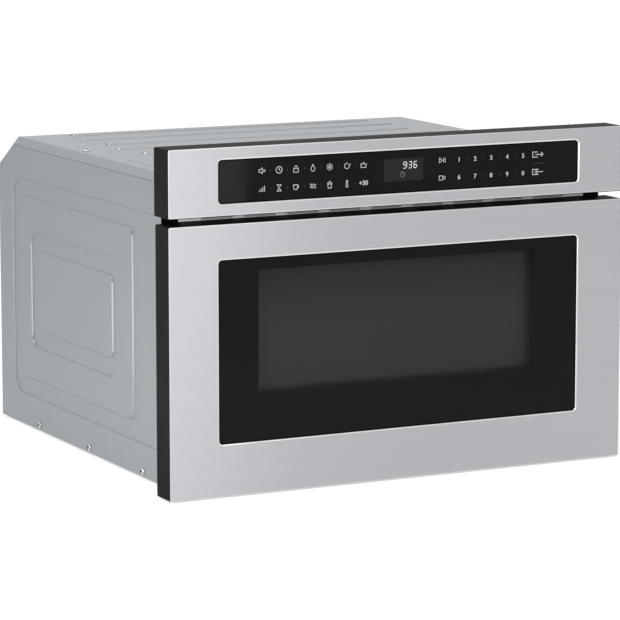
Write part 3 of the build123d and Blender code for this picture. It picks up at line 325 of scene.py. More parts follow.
def window_glass(name, window, print_depth):
    """Glass with a black printed front and a clear, tinted window in it: low and high X and Z.

    The print casts no shadow on the screen behind it.
    """
    paint = Paint(name)
    coordinates = paint.add("ShaderNodeTexCoord").outputs["Object"]
    parts = paint.split(coordinates)
    inside = None
    for axis, low, high in (("X", window[0], window[1]), ("Z", window[2], window[3])):
        centred = paint.sum("SUBTRACT", parts[axis], (low + high) / 2)
        size = paint.sum("ABSOLUTE", centred)
        within = paint.sum("LESS_THAN", size, (high - low) / 2)
        inside = within if inside is None else paint.sum("MULTIPLY", inside, within)
    behind = paint.sum("GREATER_THAN", parts["Y"], print_depth)
    shadow = paint.add("ShaderNodeLightPath").outputs["Is Shadow Ray"]
    seen_through = paint.sum("MAXIMUM", paint.sum("MAXIMUM", inside, behind), shadow)
    clear = paint.add("ShaderNodeBsdfTransparent", Color=(*grey(WINDOW_TINT), 1))
    return paint.finish(paint.mix(seen_through, black_gloss(paint, coordinates), clear))


def glaze(name, tint):
    """Clear glass or glazed plastic."""
    paint = Paint(name)
    haze = paint.noise(paint.place(), 30.0)
    tone = paint.shade(haze, scaled(tint, 0.95), tint)
    rough = paint.spread(haze, 0.03, 0.08)
    return paint.finish(paint.principled(tone, rough, IOR=1.45, Alpha=0.35))


def perforated(name, color, pitch):
    """Dark screen paint with rows of small holes under a clear coat, darkened at its top and foot by
    painted shade.
    """
    paint = Paint(name)
    cells = paint.add("ShaderNodeTexVoronoi", Scale=1.0, Randomness=0.0)
    paint.link(paint.place((1 / pitch, 1 / pitch, 1 / pitch)), cells.inputs["Vector"])
    distance = cells.outputs["Distance"]
    holes = paint.shade(distance, scaled(color, 0.85), color, source=(0.28, 0.36))
    rough = paint.spread(paint.noise(paint.place(), 8.0), 0.45, 0.6)
    height = paint.split(paint.place())["Z"]
    # Painted shade: darker towards the top of the screen and towards its foot
    painted_top_shade = paint.shade(height, grey(1), grey(0.66), source=SCREEN_TOP_SHADE)
    foot = paint.shade(height, grey(0.85), grey(1), source=SCREEN_FOOT_SHADE)
    tone = paint.multiply(paint.multiply(holes, painted_top_shade), foot)
    coat = {"Coat_Weight": 1.0, "Coat_Roughness": 0.06, "Coat_IOR": 1.2}
    return paint.finish(paint.principled(tone, rough, Specular_IOR_Level=0.1, **coat))


def glow(name, color, strength):
    """Lit segments of the display."""
    paint = Paint(name)
    haze = paint.noise(paint.place(), 400.0)
    tone = paint.shade(haze, scaled(color, 0.9), color)
    shader = paint.principled(tone, Roughness=0.5, Emission_Strength=strength)
    paint.link(tone, shader.inputs["Emission Color"])
    return paint.finish(shader)


MATERIALS = {
    "front_steel": brushed_steel("front_steel", (0.54, 0.545, 0.565), 0.45),
    "black_moulding": moulded("black_moulding", (0.013, 0.013, 0.0135), 0.5, 0.02),
    "black_glass": black_glass("touch_black_glass"),
    "door_black_glass": window_glass("door_black_glass", DOOR_WINDOW, PRINT_DEPTH),
    "galvanised": sheet_metal("galvanised", (0.297, 0.318, 0.334), 0.4, 0.45),
    "black_paint": moulded("black_paint", (0.008, 0.008, 0.009), 0.55, 0.04, 1500.0),
    # A lighter copy of the galvanised sheet for the top cover: painted light on the top
    "galvanised_painted_lit_top": sheet_metal("galvanised_painted_lit_top", (0.32, 0.342, 0.358), 0.4, 0.45),
    # Bend finishes are smoother than the sheet, and darker: painted shade along the bends
    "galvanised_bend_painted_shade": sheet_metal("galvanised_bend_painted_shade", (0.25, 0.263, 0.276), 0.24),
    "side_bend_painted_shade": sheet_metal("side_bend_painted_shade", (0.27, 0.285, 0.3), 0.28, 0.6),
    # Polished edge steel, lighter than the face: its lighter colour is a painted highlight
    "polished_edge_painted_highlight": sheet_metal("polished_edge_painted_highlight", (0.66, 0.66, 0.67), 0.2),
    "fold_steel": sheet_metal("fold_steel", (0.55, 0.553, 0.57), 0.4),
    # Near black for the screws' cross recesses and head sides: painted shade
    "recess": moulded("recess", (0.012, 0.012, 0.013), 0.5, 0.1),
    # Near black for the rings round the glasses: painted shade of the gap
    "seal": moulded("seal", (0.003, 0.003, 0.003), 0.6, 0.03),
    "vent_steel": sheet_metal("vent_steel", (0.97, 0.97, 0.98), 0.42),
    "vent_screen": sheet_metal("vent_screen", (0.42, 0.42, 0.43), 0.4),
    "cavity_paint": moulded("cavity_paint", (0.52, 0.52, 0.50), 0.45, 0.4, 1200.0, 0.15),
    "slide_steel": sheet_metal("slide_steel", (0.55, 0.56, 0.57), 0.3),
    "ceramic": moulded("ceramic", (0.78, 0.77, 0.73), 0.2, 0.5, 400.0, 0.03),
    "gear_plastic": moulded("gear_plastic", (0.75, 0.74, 0.70), 0.45, 0.4),
    "clear_glass": glaze("clear_glass", (0.75, 0.78, 0.77)),
    "screen_paint": perforated("screen_paint", (0.09, 0.09, 0.0925), SCREEN_PITCH),
    "dark_plastic": moulded("dark_plastic", (0.02, 0.02, 0.022), 0.5, 0.35),
    "pale_plastic": moulded("pale_plastic", (0.72, 0.71, 0.67), 0.5, 0.4),
    "board": moulded("board", (0.03, 0.14, 0.06), 0.45, 0.4, 300.0),
    "motor_metal": sheet_metal("motor_metal", (0.5, 0.5, 0.49), 0.35),
    "aluminium": sheet_metal("aluminium", (0.68, 0.69, 0.70), 0.35),
    "screw_steel": sheet_metal("screw_steel", (0.55, 0.56, 0.57), 0.28),
    "display": moulded("display", (0.011, 0.0112, 0.0115), 0.3, 0.2),
    "print": moulded("print", (0.74, 0.74, 0.75), 0.5, 0.2, 500.0, 0.05),
    "faint_print": moulded("faint_print", (0.12, 0.12, 0.122), 0.5, 0.2, 500.0, 0.05),
    "lit": glow("lit", (0.75, 0.77, 0.78), 0.5),
    "half_lit": glow("half_lit", (0.25, 0.26, 0.27), 0.25),
}


# ---------------------------------------------------------------- mesh helpers

def put(name, shape, body, slot, material, *nodes):
    """A finished mesh as a piece that rides on a body and stands for CAD nodes."""
    mesh = bpy.data.meshes.new(name)
    shape.to_mesh(mesh)
    shape.free()
    piece = bpy.data.objects.new(name, mesh)
    bpy.context.scene.collection.objects.link(piece)
    mesh.materials.append(material)
    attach(piece, body)
    if nodes:
        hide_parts(*nodes)
    return piece


def join(shape, part):
    """One mesh added to another, which keeps both."""
    mesh = bpy.data.meshes.new("part")
    part.to_mesh(mesh)
    part.free()
    shape.from_mesh(mesh)
    bpy.data.meshes.remove(mesh)


def smooth(piece, degrees):
    """Smooth faces with sharp edges over an angle."""
    piece.data.shade_smooth()
    piece.data.set_sharp_from_angle(angle=math.radians(degrees))


def copied(node):
    """A CAD node's mesh, with its doubled points joined."""
    shape = bmesh.new()
    shape.from_mesh(frame["nodes"][node].data)
    bmesh.ops.remove_doubles(shape, verts=shape.verts, dist=WELD * MM)
    return shape


def soften(node, width, slot, material=None, bends=None):
    """A copy of a CAD node whose edges are rounded, standing for it. Bends have their own finish,
    smoother and painted darker as shade.
    """
    shape = copied(node)
    flat = math.radians(FLAT_ANGLE)
    bmesh.ops.dissolve_limit(shape, angle_limit=flat, verts=shape.verts, edges=shape.edges)
    bmesh.ops.recalc_face_normals(shape, faces=shape.faces)
    material = material or MATERIALS[slot]
    piece = put(node + "_form", shape, frame["nodes"][node]["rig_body"], slot, material, node)
    custom = piece.data.attributes.get("custom_normal")
    if custom:
        piece.data.attributes.remove(custom)
    # Bends and sloped faces take the darker bend finish, painted shade in the pressings
    if bends:
        piece.data.materials.append(bends)
    for face in piece.data.polygons:
        sloped = max(abs(part) for part in face.normal) < BEND_TILT
        face.material_index = 1 if bends and sloped and face.area < BEND_AREA else 0
    smooth(piece, SHARP_ANGLE)
    bevel = piece.modifiers.new("edges", "BEVEL")
    bevel.material = 1 if bends else -1
    bevel.width = width * MM
    bevel.segments = ROUND_SEGMENTS
    bevel.limit_method = "ANGLE"
    bevel.angle_limit = math.radians(SHARP_ANGLE)
    bevel.harden_normals = True


def dress(node, slot):
    """A CAD node in its own shape, with the material of its slot."""
    piece = frame["nodes"][node]
    piece.data.materials.clear()
    piece.data.materials.append(MATERIALS[slot])
    for face in piece.data.polygons:
        face.material_index = 0


def sized(node):
    """Low and high of a node: X, Y and Z pairs."""
    low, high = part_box(node)
    return tuple((low[axis] / MM, high[axis] / MM) for axis in range(3))


def grown(pair, by):
    return pair[0] - by, pair[1] + by


def rounded_loop(x, z, radius, steps=6):
    """Points round a round-cornered rectangle: X and Z pairs, counter-clockwise."""
    points = []
    corners = (
        (x[1] - radius, z[1] - radius, 0),
        (x[0] + radius, z[1] - radius, 90),
        (x[0] + radius, z[0] + radius, 180),
        (x[1] - radius, z[0] + radius, 270),
    )
    for corner_x, corner_z, start in corners:
        points += arc(corner_x, corner_z, radius, start, start + 90, steps)
    return points


def arc(x, z, radius, start, end, steps):
    """Points along an arc, its angles in degrees."""
    points = []
    for step in range(steps + 1):
        angle = math.radians(start + (end - start) * step / steps)
        points.append((x + radius * math.cos(angle), z + radius * math.sin(angle)))
    return points


def upright(loop, depth):
    """X and Z pairs as points at a depth."""
    return [(x, depth, z) for x, z in loop]


def loft(rings, closed=False, finishes=None, caps=(False, False)):
    """A mesh between rings of as many points; a finish number per band, and flat ends if asked."""
    shape = bmesh.new()
    loops = [[shape.verts.new(Vector(point) * MM) for point in ring] for ring in rings]
    pairs = list(zip(loops, loops[1:]))
    if closed:
        pairs.append((loops[-1], loops[0]))
    for band, (first, second) in enumerate(pairs):
        count = len(first)
        for index in range(count):
            after = (index + 1) % count
            face = shape.faces.new((first[index], first[after], second[after], second[index]))
            face.material_index = finishes[band] if finishes else 0
    ends = (finishes[0], finishes[-1]) if finishes else (0, 0)
    for loop, capped, finish in zip((loops[0], loops[-1]), caps, ends):
        if capped:
            shape.faces.new(loop).material_index = finish
    bmesh.ops.recalc_face_normals(shape, faces=shape.faces)
    return shape


# ---------------------------------------------------------------- sheet forms

def bead(shape, start, end, across, up):
    """A low rounded ridge along a sheet, from start to end and tapered there."""
    start, end, across, up = Vector(start), Vector(end), Vector(across), Vector(up)
    taper = BEAD_TAPER / (end - start).length
    rings = []
    for share, size in ((0, BEAD_TIP), (taper, 1), (1 - taper, 1), (1, BEAD_TIP)):
        centre = start.lerp(end, share)
        ring = []
        for step in range(9):
            angle = math.radians(22.5 * step)
            reach = across * (BEAD_WIDTH / 2 * size * math.cos(angle))
            ring.append(centre + reach + up * (BEAD_HEIGHT * size * math.sin(angle)))
        rings.append(ring)
    join(shape, loft(rings, caps=(True, True)))
    for face in shape.faces:
        face.smooth = True


def steel_skin(node, hole_z, body, foot=FOLD_REACH):
    """A front skin: brushed face, polished outer edge folded over its frame, bevelled opening."""
    x, y, z = sized(node)
    fold_back = y[0] + FOLD_SHEET
    hole_x = (-OPENING_HALF, OPENING_HALF)
    band_x, band_z = grown(hole_x, OPENING_BAND), grown(hole_z, OPENING_BAND)
    outer_x, outer_z = grown(x, FOLD_REACH), (z[0] - foot, z[1] + FOLD_REACH)
    outer_corner = SKIN_CORNER + FOLD_REACH
    profile = [
        (x, z, SKIN_CORNER, y[1]),
        (x, z, SKIN_CORNER, fold_back),
        (outer_x, outer_z, outer_corner, fold_back),
        (outer_x, outer_z, outer_corner, y[0] + EDGE_FALL),
        (grown(outer_x, -EDGE_BAND), grown(outer_z, -EDGE_BAND), SKIN_CORNER, y[0]),
        (band_x, band_z, OPENING_CORNER + OPENING_BAND, y[0]),
        (hole_x, hole_z, OPENING_CORNER, y[0] + OPENING_FALL),
        (hole_x, hole_z, OPENING_CORNER, y[1]),
    ]
    rings = [upright(rounded_loop(ring_x, ring_z, radius), depth)
             for ring_x, ring_z, radius, depth in profile]
    # The opening's bevel and wall take the polished edge finish; its lighter colour is a painted
    # highlight
    shape = loft(rings, closed=True, finishes=(0, 0, 2, 2, 0, 1, 1, 0))
    piece = put(node + "_form", shape, body, "front_steel", MATERIALS["front_steel"], node)
    piece.data.materials.append(MATERIALS["polished_edge_painted_highlight"])
    piece.data.materials.append(MATERIALS["fold_steel"])
    smooth(piece, SKIN_ANGLE)
    weighted = piece.modifiers.new("normals", "WEIGHTED_NORMAL")
    weighted.keep_sharp = True
    weighted.weight = 100


def glass_border(name, node, hole_z, body):
    """A near-black ring round a glass, inside its steel opening: painted shade of the gap between
    steel and glass.
    """
    front = sized(node)[1][0]
    hole_x = (-OPENING_HALF, OPENING_HALF)
    rings = []
    for inset, depth in ((0, 0), (0, -PRINT_SHEET), (BORDER, -PRINT_SHEET), (BORDER, 0)):
        loop = rounded_loop(grown(hole_x, -inset), grown(hole_z, -inset), OPENING_CORNER - inset)
        rings.append(upright(loop, front + depth))
    put(name, loft(rings, closed=True), body, "dark_plastic", MATERIALS["seal"])


# ---------------------------------------------------------------- screws

def islands(node):
    """The box of each separate solid of a CAD node: X, Y and Z pairs."""
    shape = copied(node)
    waiting, boxes = set(shape.verts), []
    while waiting:
        group, edge = set(), {min(waiting, key=lambda vert: vert.index)}
        while edge:
            group |= edge
            edge = {link.other_vert(vert) for vert in edge for link in vert.link_edges} - group
        waiting -= group
        places = [[vert.co[axis] / MM for vert in group] for axis in range(3)]
        boxes.append(tuple((min(place), max(place)) for place in places))
    shape.free()
    return sorted(boxes)


def cross_outline(half, reach):
    """Points round a cross recess, one for each 15 degrees of the head."""
    corners = []
    for turn in range(4):
        angle = math.radians(90 * turn)
        for u, v in ((reach, -half), (reach, half), (half, half)):
            corners.append(Vector((
                u * math.cos(angle) - v * math.sin(angle),
                u * math.sin(angle) + v * math.cos(angle),
            )))
    points = []
    for index, corner in enumerate(corners):
        points.append(corner)
        points.append((corner + corners[(index + 1) % len(corners)]) / 2)
    return points


def screw(place, axis, radius, height, length):
    """A pan-head screw with a cross recess. Its head stands on place and points along axis."""
    def circle(size, z):
        angles = [math.radians(15 * step - 15) for step in range(HEAD_POINTS)]
        return [(size * math.cos(angle), size * math.sin(angle), z) for angle in angles]

    def dome(size):
        return height * (1 - HEAD_FALL * (size / radius) ** 3)

    cross = cross_outline(radius * RECESS_HALF, radius * RECESS_REACH)
    floor = height * RECESS_FLOOR
    rings = [[(point.x * RECESS_TAPER, point.y * RECESS_TAPER, floor) for point in cross]]
    rings.append([(point.x, point.y, dome(point.length)) for point in cross])
    rings += [circle(radius * share, dome(radius * share)) for share in HEAD_RINGS]
    rings.append(circle(radius, 0))
    rings.append(circle(radius * SHANK, 0))
    rings.append(circle(radius * SHANK, -length))
    # Finish 1, near black, paints shade in the cross recess and on the head's side
    shape = loft(rings, finishes=(1, 0, 0, 0, 0, 0, 1, 0, 0), caps=(True, True))
    turn = Vector((0, 0, 1)).rotation_difference(Vector(axis)).to_matrix().to_4x4()
    move = Matrix.Translation(Vector(place) * MM)
    bmesh.ops.transform(shape, matrix=move @ turn, verts=shape.verts)
    return shape


def screws(node, body, facing):
    """Detailed screws in place of a CAD node's; facing tells each one's direction from its box."""
    shape = bmesh.new()
    for box in islands(node):
        axis = facing(box)
        along = max(range(3), key=lambda index: abs(axis[index]))
        ends = box[along]
        across = [box[index] for index in range(3) if index != along]
        place = [(low + high) / 2 for low, high in box]
        length = ends[1] - ends[0] - SCREW_HEAD
        place[along] = ends[1] - SCREW_HEAD if axis[along] > 0 else ends[0] + SCREW_HEAD
        radius = (across[0][1] - across[0][0]) / 2 * SCREW_SPREAD
        join(shape, screw(place, axis, radius, SCREW_HEAD, length))
    piece = put(node + "_form", shape, body, "screw_steel", MATERIALS["screw_steel"], node)
    piece.data.materials.append(MATERIALS["recess"])
    smooth(piece, SCREW_ANGLE)


def case_screw_facing(box):
    """Outwards on the sides, up on the top."""
    if box[2][1] > TOP_SCREWS_ABOVE:
        return 0, 0, 1
    return math.copysign(1, box[0][0]), 0, 0


# ---------------------------------------------------------------- strokes and numbers

def ribbon(shape, points, width, front):
    """A flat stroke along points, a hair proud of the plane at front; the ends join if they meet."""
    joined = points[0] == points[-1] and len(points) > 2
    spots = [Vector(point) for point in (points[:-1] if joined else points)]
    count = len(spots)
    back = front + PRINT_SHEET
    rings = []
    for index, spot in enumerate(spots):
        before = spots[index - 1] if index or joined else None
        after = spots[(index + 1) % count] if index < count - 1 or joined else None
        ways = []
        if before is not None:
            ways.append((spot - before).normalized())
        if after is not None:
            ways.append((after - spot).normalized())
        way = sum(ways, Vector((0, 0))).normalized()
        across = Vector((-way.y, way.x))
        lean = max(0.5, abs(across.dot(Vector((-ways[0].y, ways[0].x)))))
        reach = across * (width / 2 / lean)
        corners = []
        for side, depth in ((1, front), (-1, front), (-1, back), (1, back)):
            edge = spot + reach * side
            corners.append(shape.verts.new(Vector((edge.x, depth, edge.y)) * MM))
        rings.append(corners)
    pairs = list(zip(rings, rings[1:]))
    if joined:
        pairs.append((rings[-1], rings[0]))
    else:
        shape.faces.new(rings[0])
        shape.faces.new(rings[-1])
    for first, second in pairs:
        for index in range(4):
            after = (index + 1) % 4
            shape.faces.new((first[index], first[after], second[after], second[index]))


def marks(name, drawings, front, slot, material):
    """Strokes as one piece: each drawing is (x, z, half height, stroke, lines)."""
    shape = bmesh.new()
    for x, z, half, stroke, lines in drawings:
        for line in lines:
            points = [(x + px * half, z + pz * half) for px, pz in line]
            ribbon(shape, points, stroke, front)
    bmesh.ops.recalc_face_normals(shape, faces=shape.faces)
    put(name, shape, "case", slot, MATERIALS[material])


def digits(name, words, height, front, slot, material):
    """Plain numbers as one mesh piece: each is (text, x, z), centred."""
    shape = bmesh.new()
    for text, x, z in words:
        curve = bpy.data.curves.new("digits", "FONT")
        curve.body = text
        curve.size = height / DIGIT_SHARE * MM
        curve.extrude = PRINT_SHEET / 2 * MM
        curve.offset = DIGIT_WEIGHT * MM
        curve.align_x = "CENTER"
        holder = bpy.data.objects.new("digits", curve)
        bpy.context.scene.collection.objects.link(holder)
        bpy.context.view_layer.update()
        mesh = bpy.data.meshes.new_from_object(holder)
        place = Vector((x, front + PRINT_SHEET / 2, z - height / 2)) * MM
        mesh.transform(Matrix.Translation(place) @ Matrix.Rotation(math.radians(90), 4, "X"))
        shape.from_mesh(mesh)
        bpy.data.meshes.remove(mesh)
        bpy.data.objects.remove(holder)
        bpy.data.curves.remove(curve)
    bmesh.ops.recalc_face_normals(shape, faces=shape.faces)
    for face in shape.faces:
        face.smooth = False
        face.material_index = 0
    put(name, shape, "case", slot, MATERIALS[material])


SEGMENTS = {
    "a": ((-0.5, 1), (0.5, 1)),
    "b": ((0.5, 1), (0.5, 0)),
    "c": ((0.5, 0), (0.5, -1)),
    "d": ((-0.5, -1), (0.5, -1)),
    "e": ((-0.5, 0), (-0.5, -1)),
    "f": ((-0.5, 1), (-0.5, 0)),
    "g": ((-0.5, 0), (0.5, 0)),
}
LIT = {"9": "abcdfg", "3": "abcdg", "6": "acdefg"}
SEGMENT_WIDE = 0.84
SEGMENT_TALL = 0.88
SEGMENT_SLANT = 0.10


def lit_digit(text):
    """Lines of a seven-segment digit, slightly slanted and with a gap at each joint."""
    lines = []
    for name in LIT[text]:
        (x1, z1), (x2, z2) = SEGMENTS[name]
        middle = ((x1 + x2) / 2, (z1 + z2) / 2)
        line = []
        for x, z in ((x1, z1), (x2, z2)):
            x = middle[0] + (x - middle[0]) * SEGMENT_WIDE
            z = middle[1] + (z - middle[1]) * SEGMENT_TALL
            line.append((x + z * SEGMENT_SLANT, z))
        lines.append(line)
    return lines


def turned(radius, angle):
    """A point at a radius and an angle in radians."""
    return radius * math.cos(angle), radius * math.sin(angle)


# Icons are lines in a square from -1 to 1
CLOCK = [arc(0, 0, 0.9, 0, 360, 24), [(0, 0.55), (0, 0), (0.42, -0.22)]]
ICONS_TOP = [
    [  # sound off
        [(-0.9, -0.35), (-0.45, -0.35), (0.05, -0.8), (0.05, 0.8), (-0.45, 0.35), (-0.9, 0.35),
         (-0.9, -0.35)],
        [(0.4, -0.35), (0.95, 0.35)],
        [(0.4, 0.35), (0.95, -0.35)],
    ],
    CLOCK,
    [  # padlock
        [(-0.7, -0.9), (0.7, -0.9), (0.7, 0.1), (-0.7, 0.1), (-0.7, -0.9)],
        [(-0.42, 0.1)] + arc(0, 0.4, 0.42, 180, 0, 10) + [(0.42, 0.1)],
    ],
    [  # drop
        [(0, 0.95)] + arc(0, -0.3, 0.6, 35, -215, 18) + [(0, 0.95)],
    ],
    [  # snow crystal
        [turned(-0.9, angle), turned(0.9, angle)]
        for angle in (math.radians(30), math.radians(90), math.radians(150))
    ] + [
        [turned(0.9, angle - 0.3), turned(0.55, angle), turned(0.9, angle + 0.3)]
        for angle in [math.radians(30 + 60 * step) for step in range(6)]
    ],
    [  # turning arrow
        arc(0, 0, 0.75, 70, 370, 20),
        [(0.35, 0.35), (0.78, 0.1), (1.05, 0.5)],
    ],
    [  # pot
        [(-0.75, 0.25), (-0.75, -0.7), (0.75, -0.7), (0.75, 0.25)],
        [(-1.0, 0.25), (1.0, 0.25)],
        [(-0.25, 0.6), (0.25, 0.6)],
    ],
]
ICONS_LOW = [
    [  # rising bars
        [(-0.75 + 0.5 * step, -0.8), (-0.75 + 0.5 * step, -0.2 + 0.35 * step)]
        for step in range(4)
    ],
    [  # hourglass
        [(-0.6, 0.85), (0.6, 0.85), (-0.6, -0.85), (0.6, -0.85), (-0.6, 0.85)],
    ],
    [  # cup
        [(-0.8, 0.55), (-0.6, -0.7), (0.3, -0.7), (0.5, 0.55), (-0.8, 0.55)],
        arc(0.45, 0.0, 0.36, 75, -95, 8),
    ],
    [  # two waves
        [(-0.9 + 0.15 * step, level + 0.25 * math.sin(step * math.pi / 3)) for step in range(13)]
        for level in (0.3, -0.4)
    ],
    [  # bag with a full top
        [(-0.6, 0.2), (-0.45, -0.9), (0.45, -0.9), (0.6, 0.2), (-0.6, 0.2)],
        arc(-0.35, 0.3, 0.3, 200, 20, 8),
        arc(0.35, 0.3, 0.3, 160, -20, 8),
        arc(0, 0.62, 0.28, 200, -20, 8),
    ],
    [  # thermometer
        [(-0.18, -0.3), (-0.18, 0.9), (0.18, 0.9), (0.18, -0.3)],
        arc(0, -0.6, 0.34, 120, 420, 16),
    ],
    [],  # a number stands here
]
PLAY_PAUSE = [
    [(-1.1, -0.8), (0.05, 0), (-1.1, 0.8), (-1.1, -0.8)],
    [(0.55, -0.8), (0.55, 0.8)],
    [(1.1, -0.8), (1.1, 0.8)],
]
STOP = [
    [(-1.15, -0.7), (0.2, -0.7), (0.2, 0.7), (-1.15, 0.7), (-1.15, -0.7)],
    [(0.5, -0.55), (1.2, 0.55)],
    [(0.5, 0.55), (1.2, -0.55)],
]
OPEN = [
    [(-0.2, -1), (-2.4, -1), (-2.4, 1), (-0.2, 1)],
    [(-1.2, 0), (2.3, 0)],
    [(1.3, 0.8), (2.3, 0), (1.3, -0.8)],
]
CLOSE = [
    [(0.2, -1), (-2.4, -1), (-2.4, 1), (0.2, 1)],
    [(-1.3, 0), (2.3, 0)],
    [(-0.3, 0.8), (-1.3, 0), (-0.3, -0.8)],
]
UPRIGHT = [[(0, -1), (0, 1)]]
LEVEL = [[(-1, 0), (1, 0)]]
COLON = [[(0.06, 0.30), (0.06, 0.46)], [(-0.04, -0.46), (-0.04, -0.30)]]

# Where the marks stand on the touch glass
ROWS = (380.3, 359.3)
ICON_COLUMNS = (-184.1, -162.1, -140.3, -118.3, -96.4, -73.8, -52.0)
START_COLUMN = 53.2
NUMBER_COLUMNS = (76.1, 97.9, 119.8, 141.9, 163.8)
DOOR_KEY_COLUMN = 184.6
DOOR_KEY_LIFT = 0.3
DIVIDER_COLUMN = 185.6
NUMBER_HEIGHT = 5.5

# Where the display stands, and what it shows
FACE_X = (-25.2, 27.4)
FACE_Z = (358.6, 385.3)
FACE_CORNER = 0.6
TIME_Z = 377.2
TIME_DIGITS = (("9", 3.0), ("3", 10.0), ("6", 16.9))
COLON_X = 6.4
CLOCK_PLACE = (-0.2, 366.4)


# ---------------------------------------------------------------- pieces

SOFT_EDGES = {
    "door_frame": (0.5, "black_moulding"),
    "control_housing": (0.5, "black_moulding"),
    "front_frame": (0.3, "black_paint"),
    "vent_grille": (0.2, "vent_steel"),
    "back_panel": (0.3, "galvanised"),
    "base_plate": (0.3, "galvanised"),
    "cavity_shell": (1.0, "cavity_paint"),
    "drawer_pan": (1.0, "cavity_paint"),
    "choke_cover": (0.5, "dark_plastic"),
}


def build_fronts():
    """The two steel skins, and rings of painted gap shade round their glasses."""
    steel_skin("door_skin", DOOR_OPENING, "drawer")
    steel_skin("control_fascia", PANEL_OPENING, "case", foot=PANEL_FOOT)
    glass_border("door_glass_gap_shade", "door_glass", DOOR_OPENING, "drawer")
    glass_border("touch_glass_gap_shade", "touch_glass", PANEL_OPENING, "case")


def build_soft_nodes():
    """CAD nodes with rounded edges."""
    for name, (width, slot) in SOFT_EDGES.items():
        soften(name, width, slot)
    # The top cover's lighter sheet colour is painted light.
    bend, top = MATERIALS["side_bend_painted_shade"], MATERIALS["galvanised_painted_lit_top"]
    soften("side_panel_left", 0.6, "galvanised", bends=bend)
    soften("side_panel_right", 0.6, "galvanised", bends=bend)
    soften("top_cover", 0.8, "galvanised", top, MATERIALS["galvanised_bend_painted_shade"])
    soften("door_glass", 0.4, "black_glass", MATERIALS["door_black_glass"])
    soften("touch_glass", 0.4, "black_glass")
    soften("door_inner_plate", 0.4, "screen_paint")


def build_creases():
    """The two pressed creases along the top cover."""
    top = sized("top_cover")[2][1] - RIB_HEIGHT
    shape = bmesh.new()
    for side in (-1, 1):
        seat = side * CREASE_X
        start, end = [(seat, y, top) for y in CREASE_Y]
        bead(shape, start, end, (side, 0, 0), (0, 0, 1))
    # The beads take the darker bend finish: painted shade that draws the creases as dark lines
    put("top_creases", shape, "case", "galvanised", MATERIALS["galvanised_bend_painted_shade"])


def build_vent_screen():
    """The thin sheet behind the vent slots."""
    x, y, z = sized("vent_grille")
    loop = rounded_loop(grown(x, -SCREEN_OVERLAP), (z[0] + SCREEN_LIFT, z[1]), 1)
    near = y[1] + SCREEN_GAP
    rings = [upright(loop, near), upright(loop, near + SCREEN_SHEET)]
    shape = loft(rings, caps=(True, True))
    put("vent_screen", shape, "case", "vent_steel", MATERIALS["vent_screen"])


def build_key_print(front):
    """Marks, numbers and dividers on the touch glass."""
    drawings = []
    for x, *icons in zip(ICON_COLUMNS, ICONS_TOP, ICONS_LOW):
        drawings += [(x, z, 4.3, 0.78, icon) for z, icon in zip(ROWS, icons)]
    drawings += [(START_COLUMN, z, 3.5, 0.8, icon) for z, icon in zip(ROWS, (PLAY_PAUSE, STOP))]
    for z, icon in zip(ROWS, (OPEN, CLOSE)):
        drawings.append((DOOR_KEY_COLUMN, z + DOOR_KEY_LIFT, 3.1, 1.0, icon))
    marks("key_marks", drawings, front, "black_glass", "print")

    numbers = []
    for z, texts in zip(ROWS, ("12345", "67890")):
        numbers += [(text, x, z) for text, x in zip(texts, NUMBER_COLUMNS)]
    numbers.append(("+30", ICON_COLUMNS[-1], ROWS[1]))
    digits("key_numbers", numbers, NUMBER_HEIGHT, front, "black_glass", "print")

    ticks = []
    for columns in (ICON_COLUMNS, (START_COLUMN, *NUMBER_COLUMNS)):
        for left, right in zip(columns, columns[1:]):
            ticks += [((left + right) / 2, z, 1.7, 0.3, UPRIGHT) for z in ROWS]
    ticks.append((DIVIDER_COLUMN, sum(ROWS) / 2, 6.5, 0.4, LEVEL))
    marks("key_dividers", ticks, front, "black_glass", "faint_print")


def build_display(front):
    """The display's face with a time and a small clock."""
    loop = rounded_loop(FACE_X, FACE_Z, FACE_CORNER, 2)
    rings = [upright(loop, front + PRINT_SHEET), upright(loop, front)]
    shape = loft(rings, caps=(False, True))
    put("display_face", shape, "case", "display", MATERIALS["display"])
    shown = front - PRINT_SHEET
    lines = [(x, TIME_Z, 3.7, 0.8, lit_digit(text)) for text, x in TIME_DIGITS]
    lines.append((COLON_X, TIME_Z, 3.7, 0.8, COLON))
    marks("display_time", lines, shown, "display", "lit")
    marks("display_clock", [(*CLOCK_PLACE, 3.4, 0.42, CLOCK)], shown, "display", "half_lit")


def dress_the_rest():
    """Every CAD node that no piece stands for gets the material of its slot.

    All slots are read before the first node is dressed.
    """
    slots = {}
    for name, node in frame["nodes"].items():
        if node.hide_render:
            continue
        old = node.material_slots[0].material.name if node.material_slots else "galvanised"
        slots[name] = old.split(".")[0]
    for name, slot in slots.items():
        dress(name, slot if slot in MATERIALS else "galvanised")


# ---------------------------------------------------------------- studio

def light_rays(tree):
    """One for camera, glossy and transmission rays, else zero."""
    path = tree.nodes.new("ShaderNodeLightPath")
    total = path.outputs["Is Camera Ray"]
    for name in ("Is Glossy Ray", "Is Transmission Ray"):
        larger = tree.nodes.new("ShaderNodeMath")
        larger.operation = "MAXIMUM"
        tree.links.new(total, larger.inputs[0])
        tree.links.new(path.outputs[name], larger.inputs[1])
        total = larger.outputs[0]
    return total


def make_world():
    """White for what is seen or mirrored, and a plain level of soft light for the rest."""
    world = bpy.data.worlds.new("studio")
    bpy.context.scene.world = world
    world.use_nodes = True
    tree = world.node_tree
    background = tree.nodes["Background"]
    background.inputs["Color"].default_value = (1, 1, 1, 1)
    spread = tree.nodes.new("ShaderNodeMapRange")
    spread.inputs["To Min"].default_value = WORLD_LEVEL
    spread.inputs["To Max"].default_value = 1.0
    tree.links.new(light_rays(tree), spread.inputs["Value"])
    tree.links.new(spread.outputs["Result"], background.inputs["Strength"])


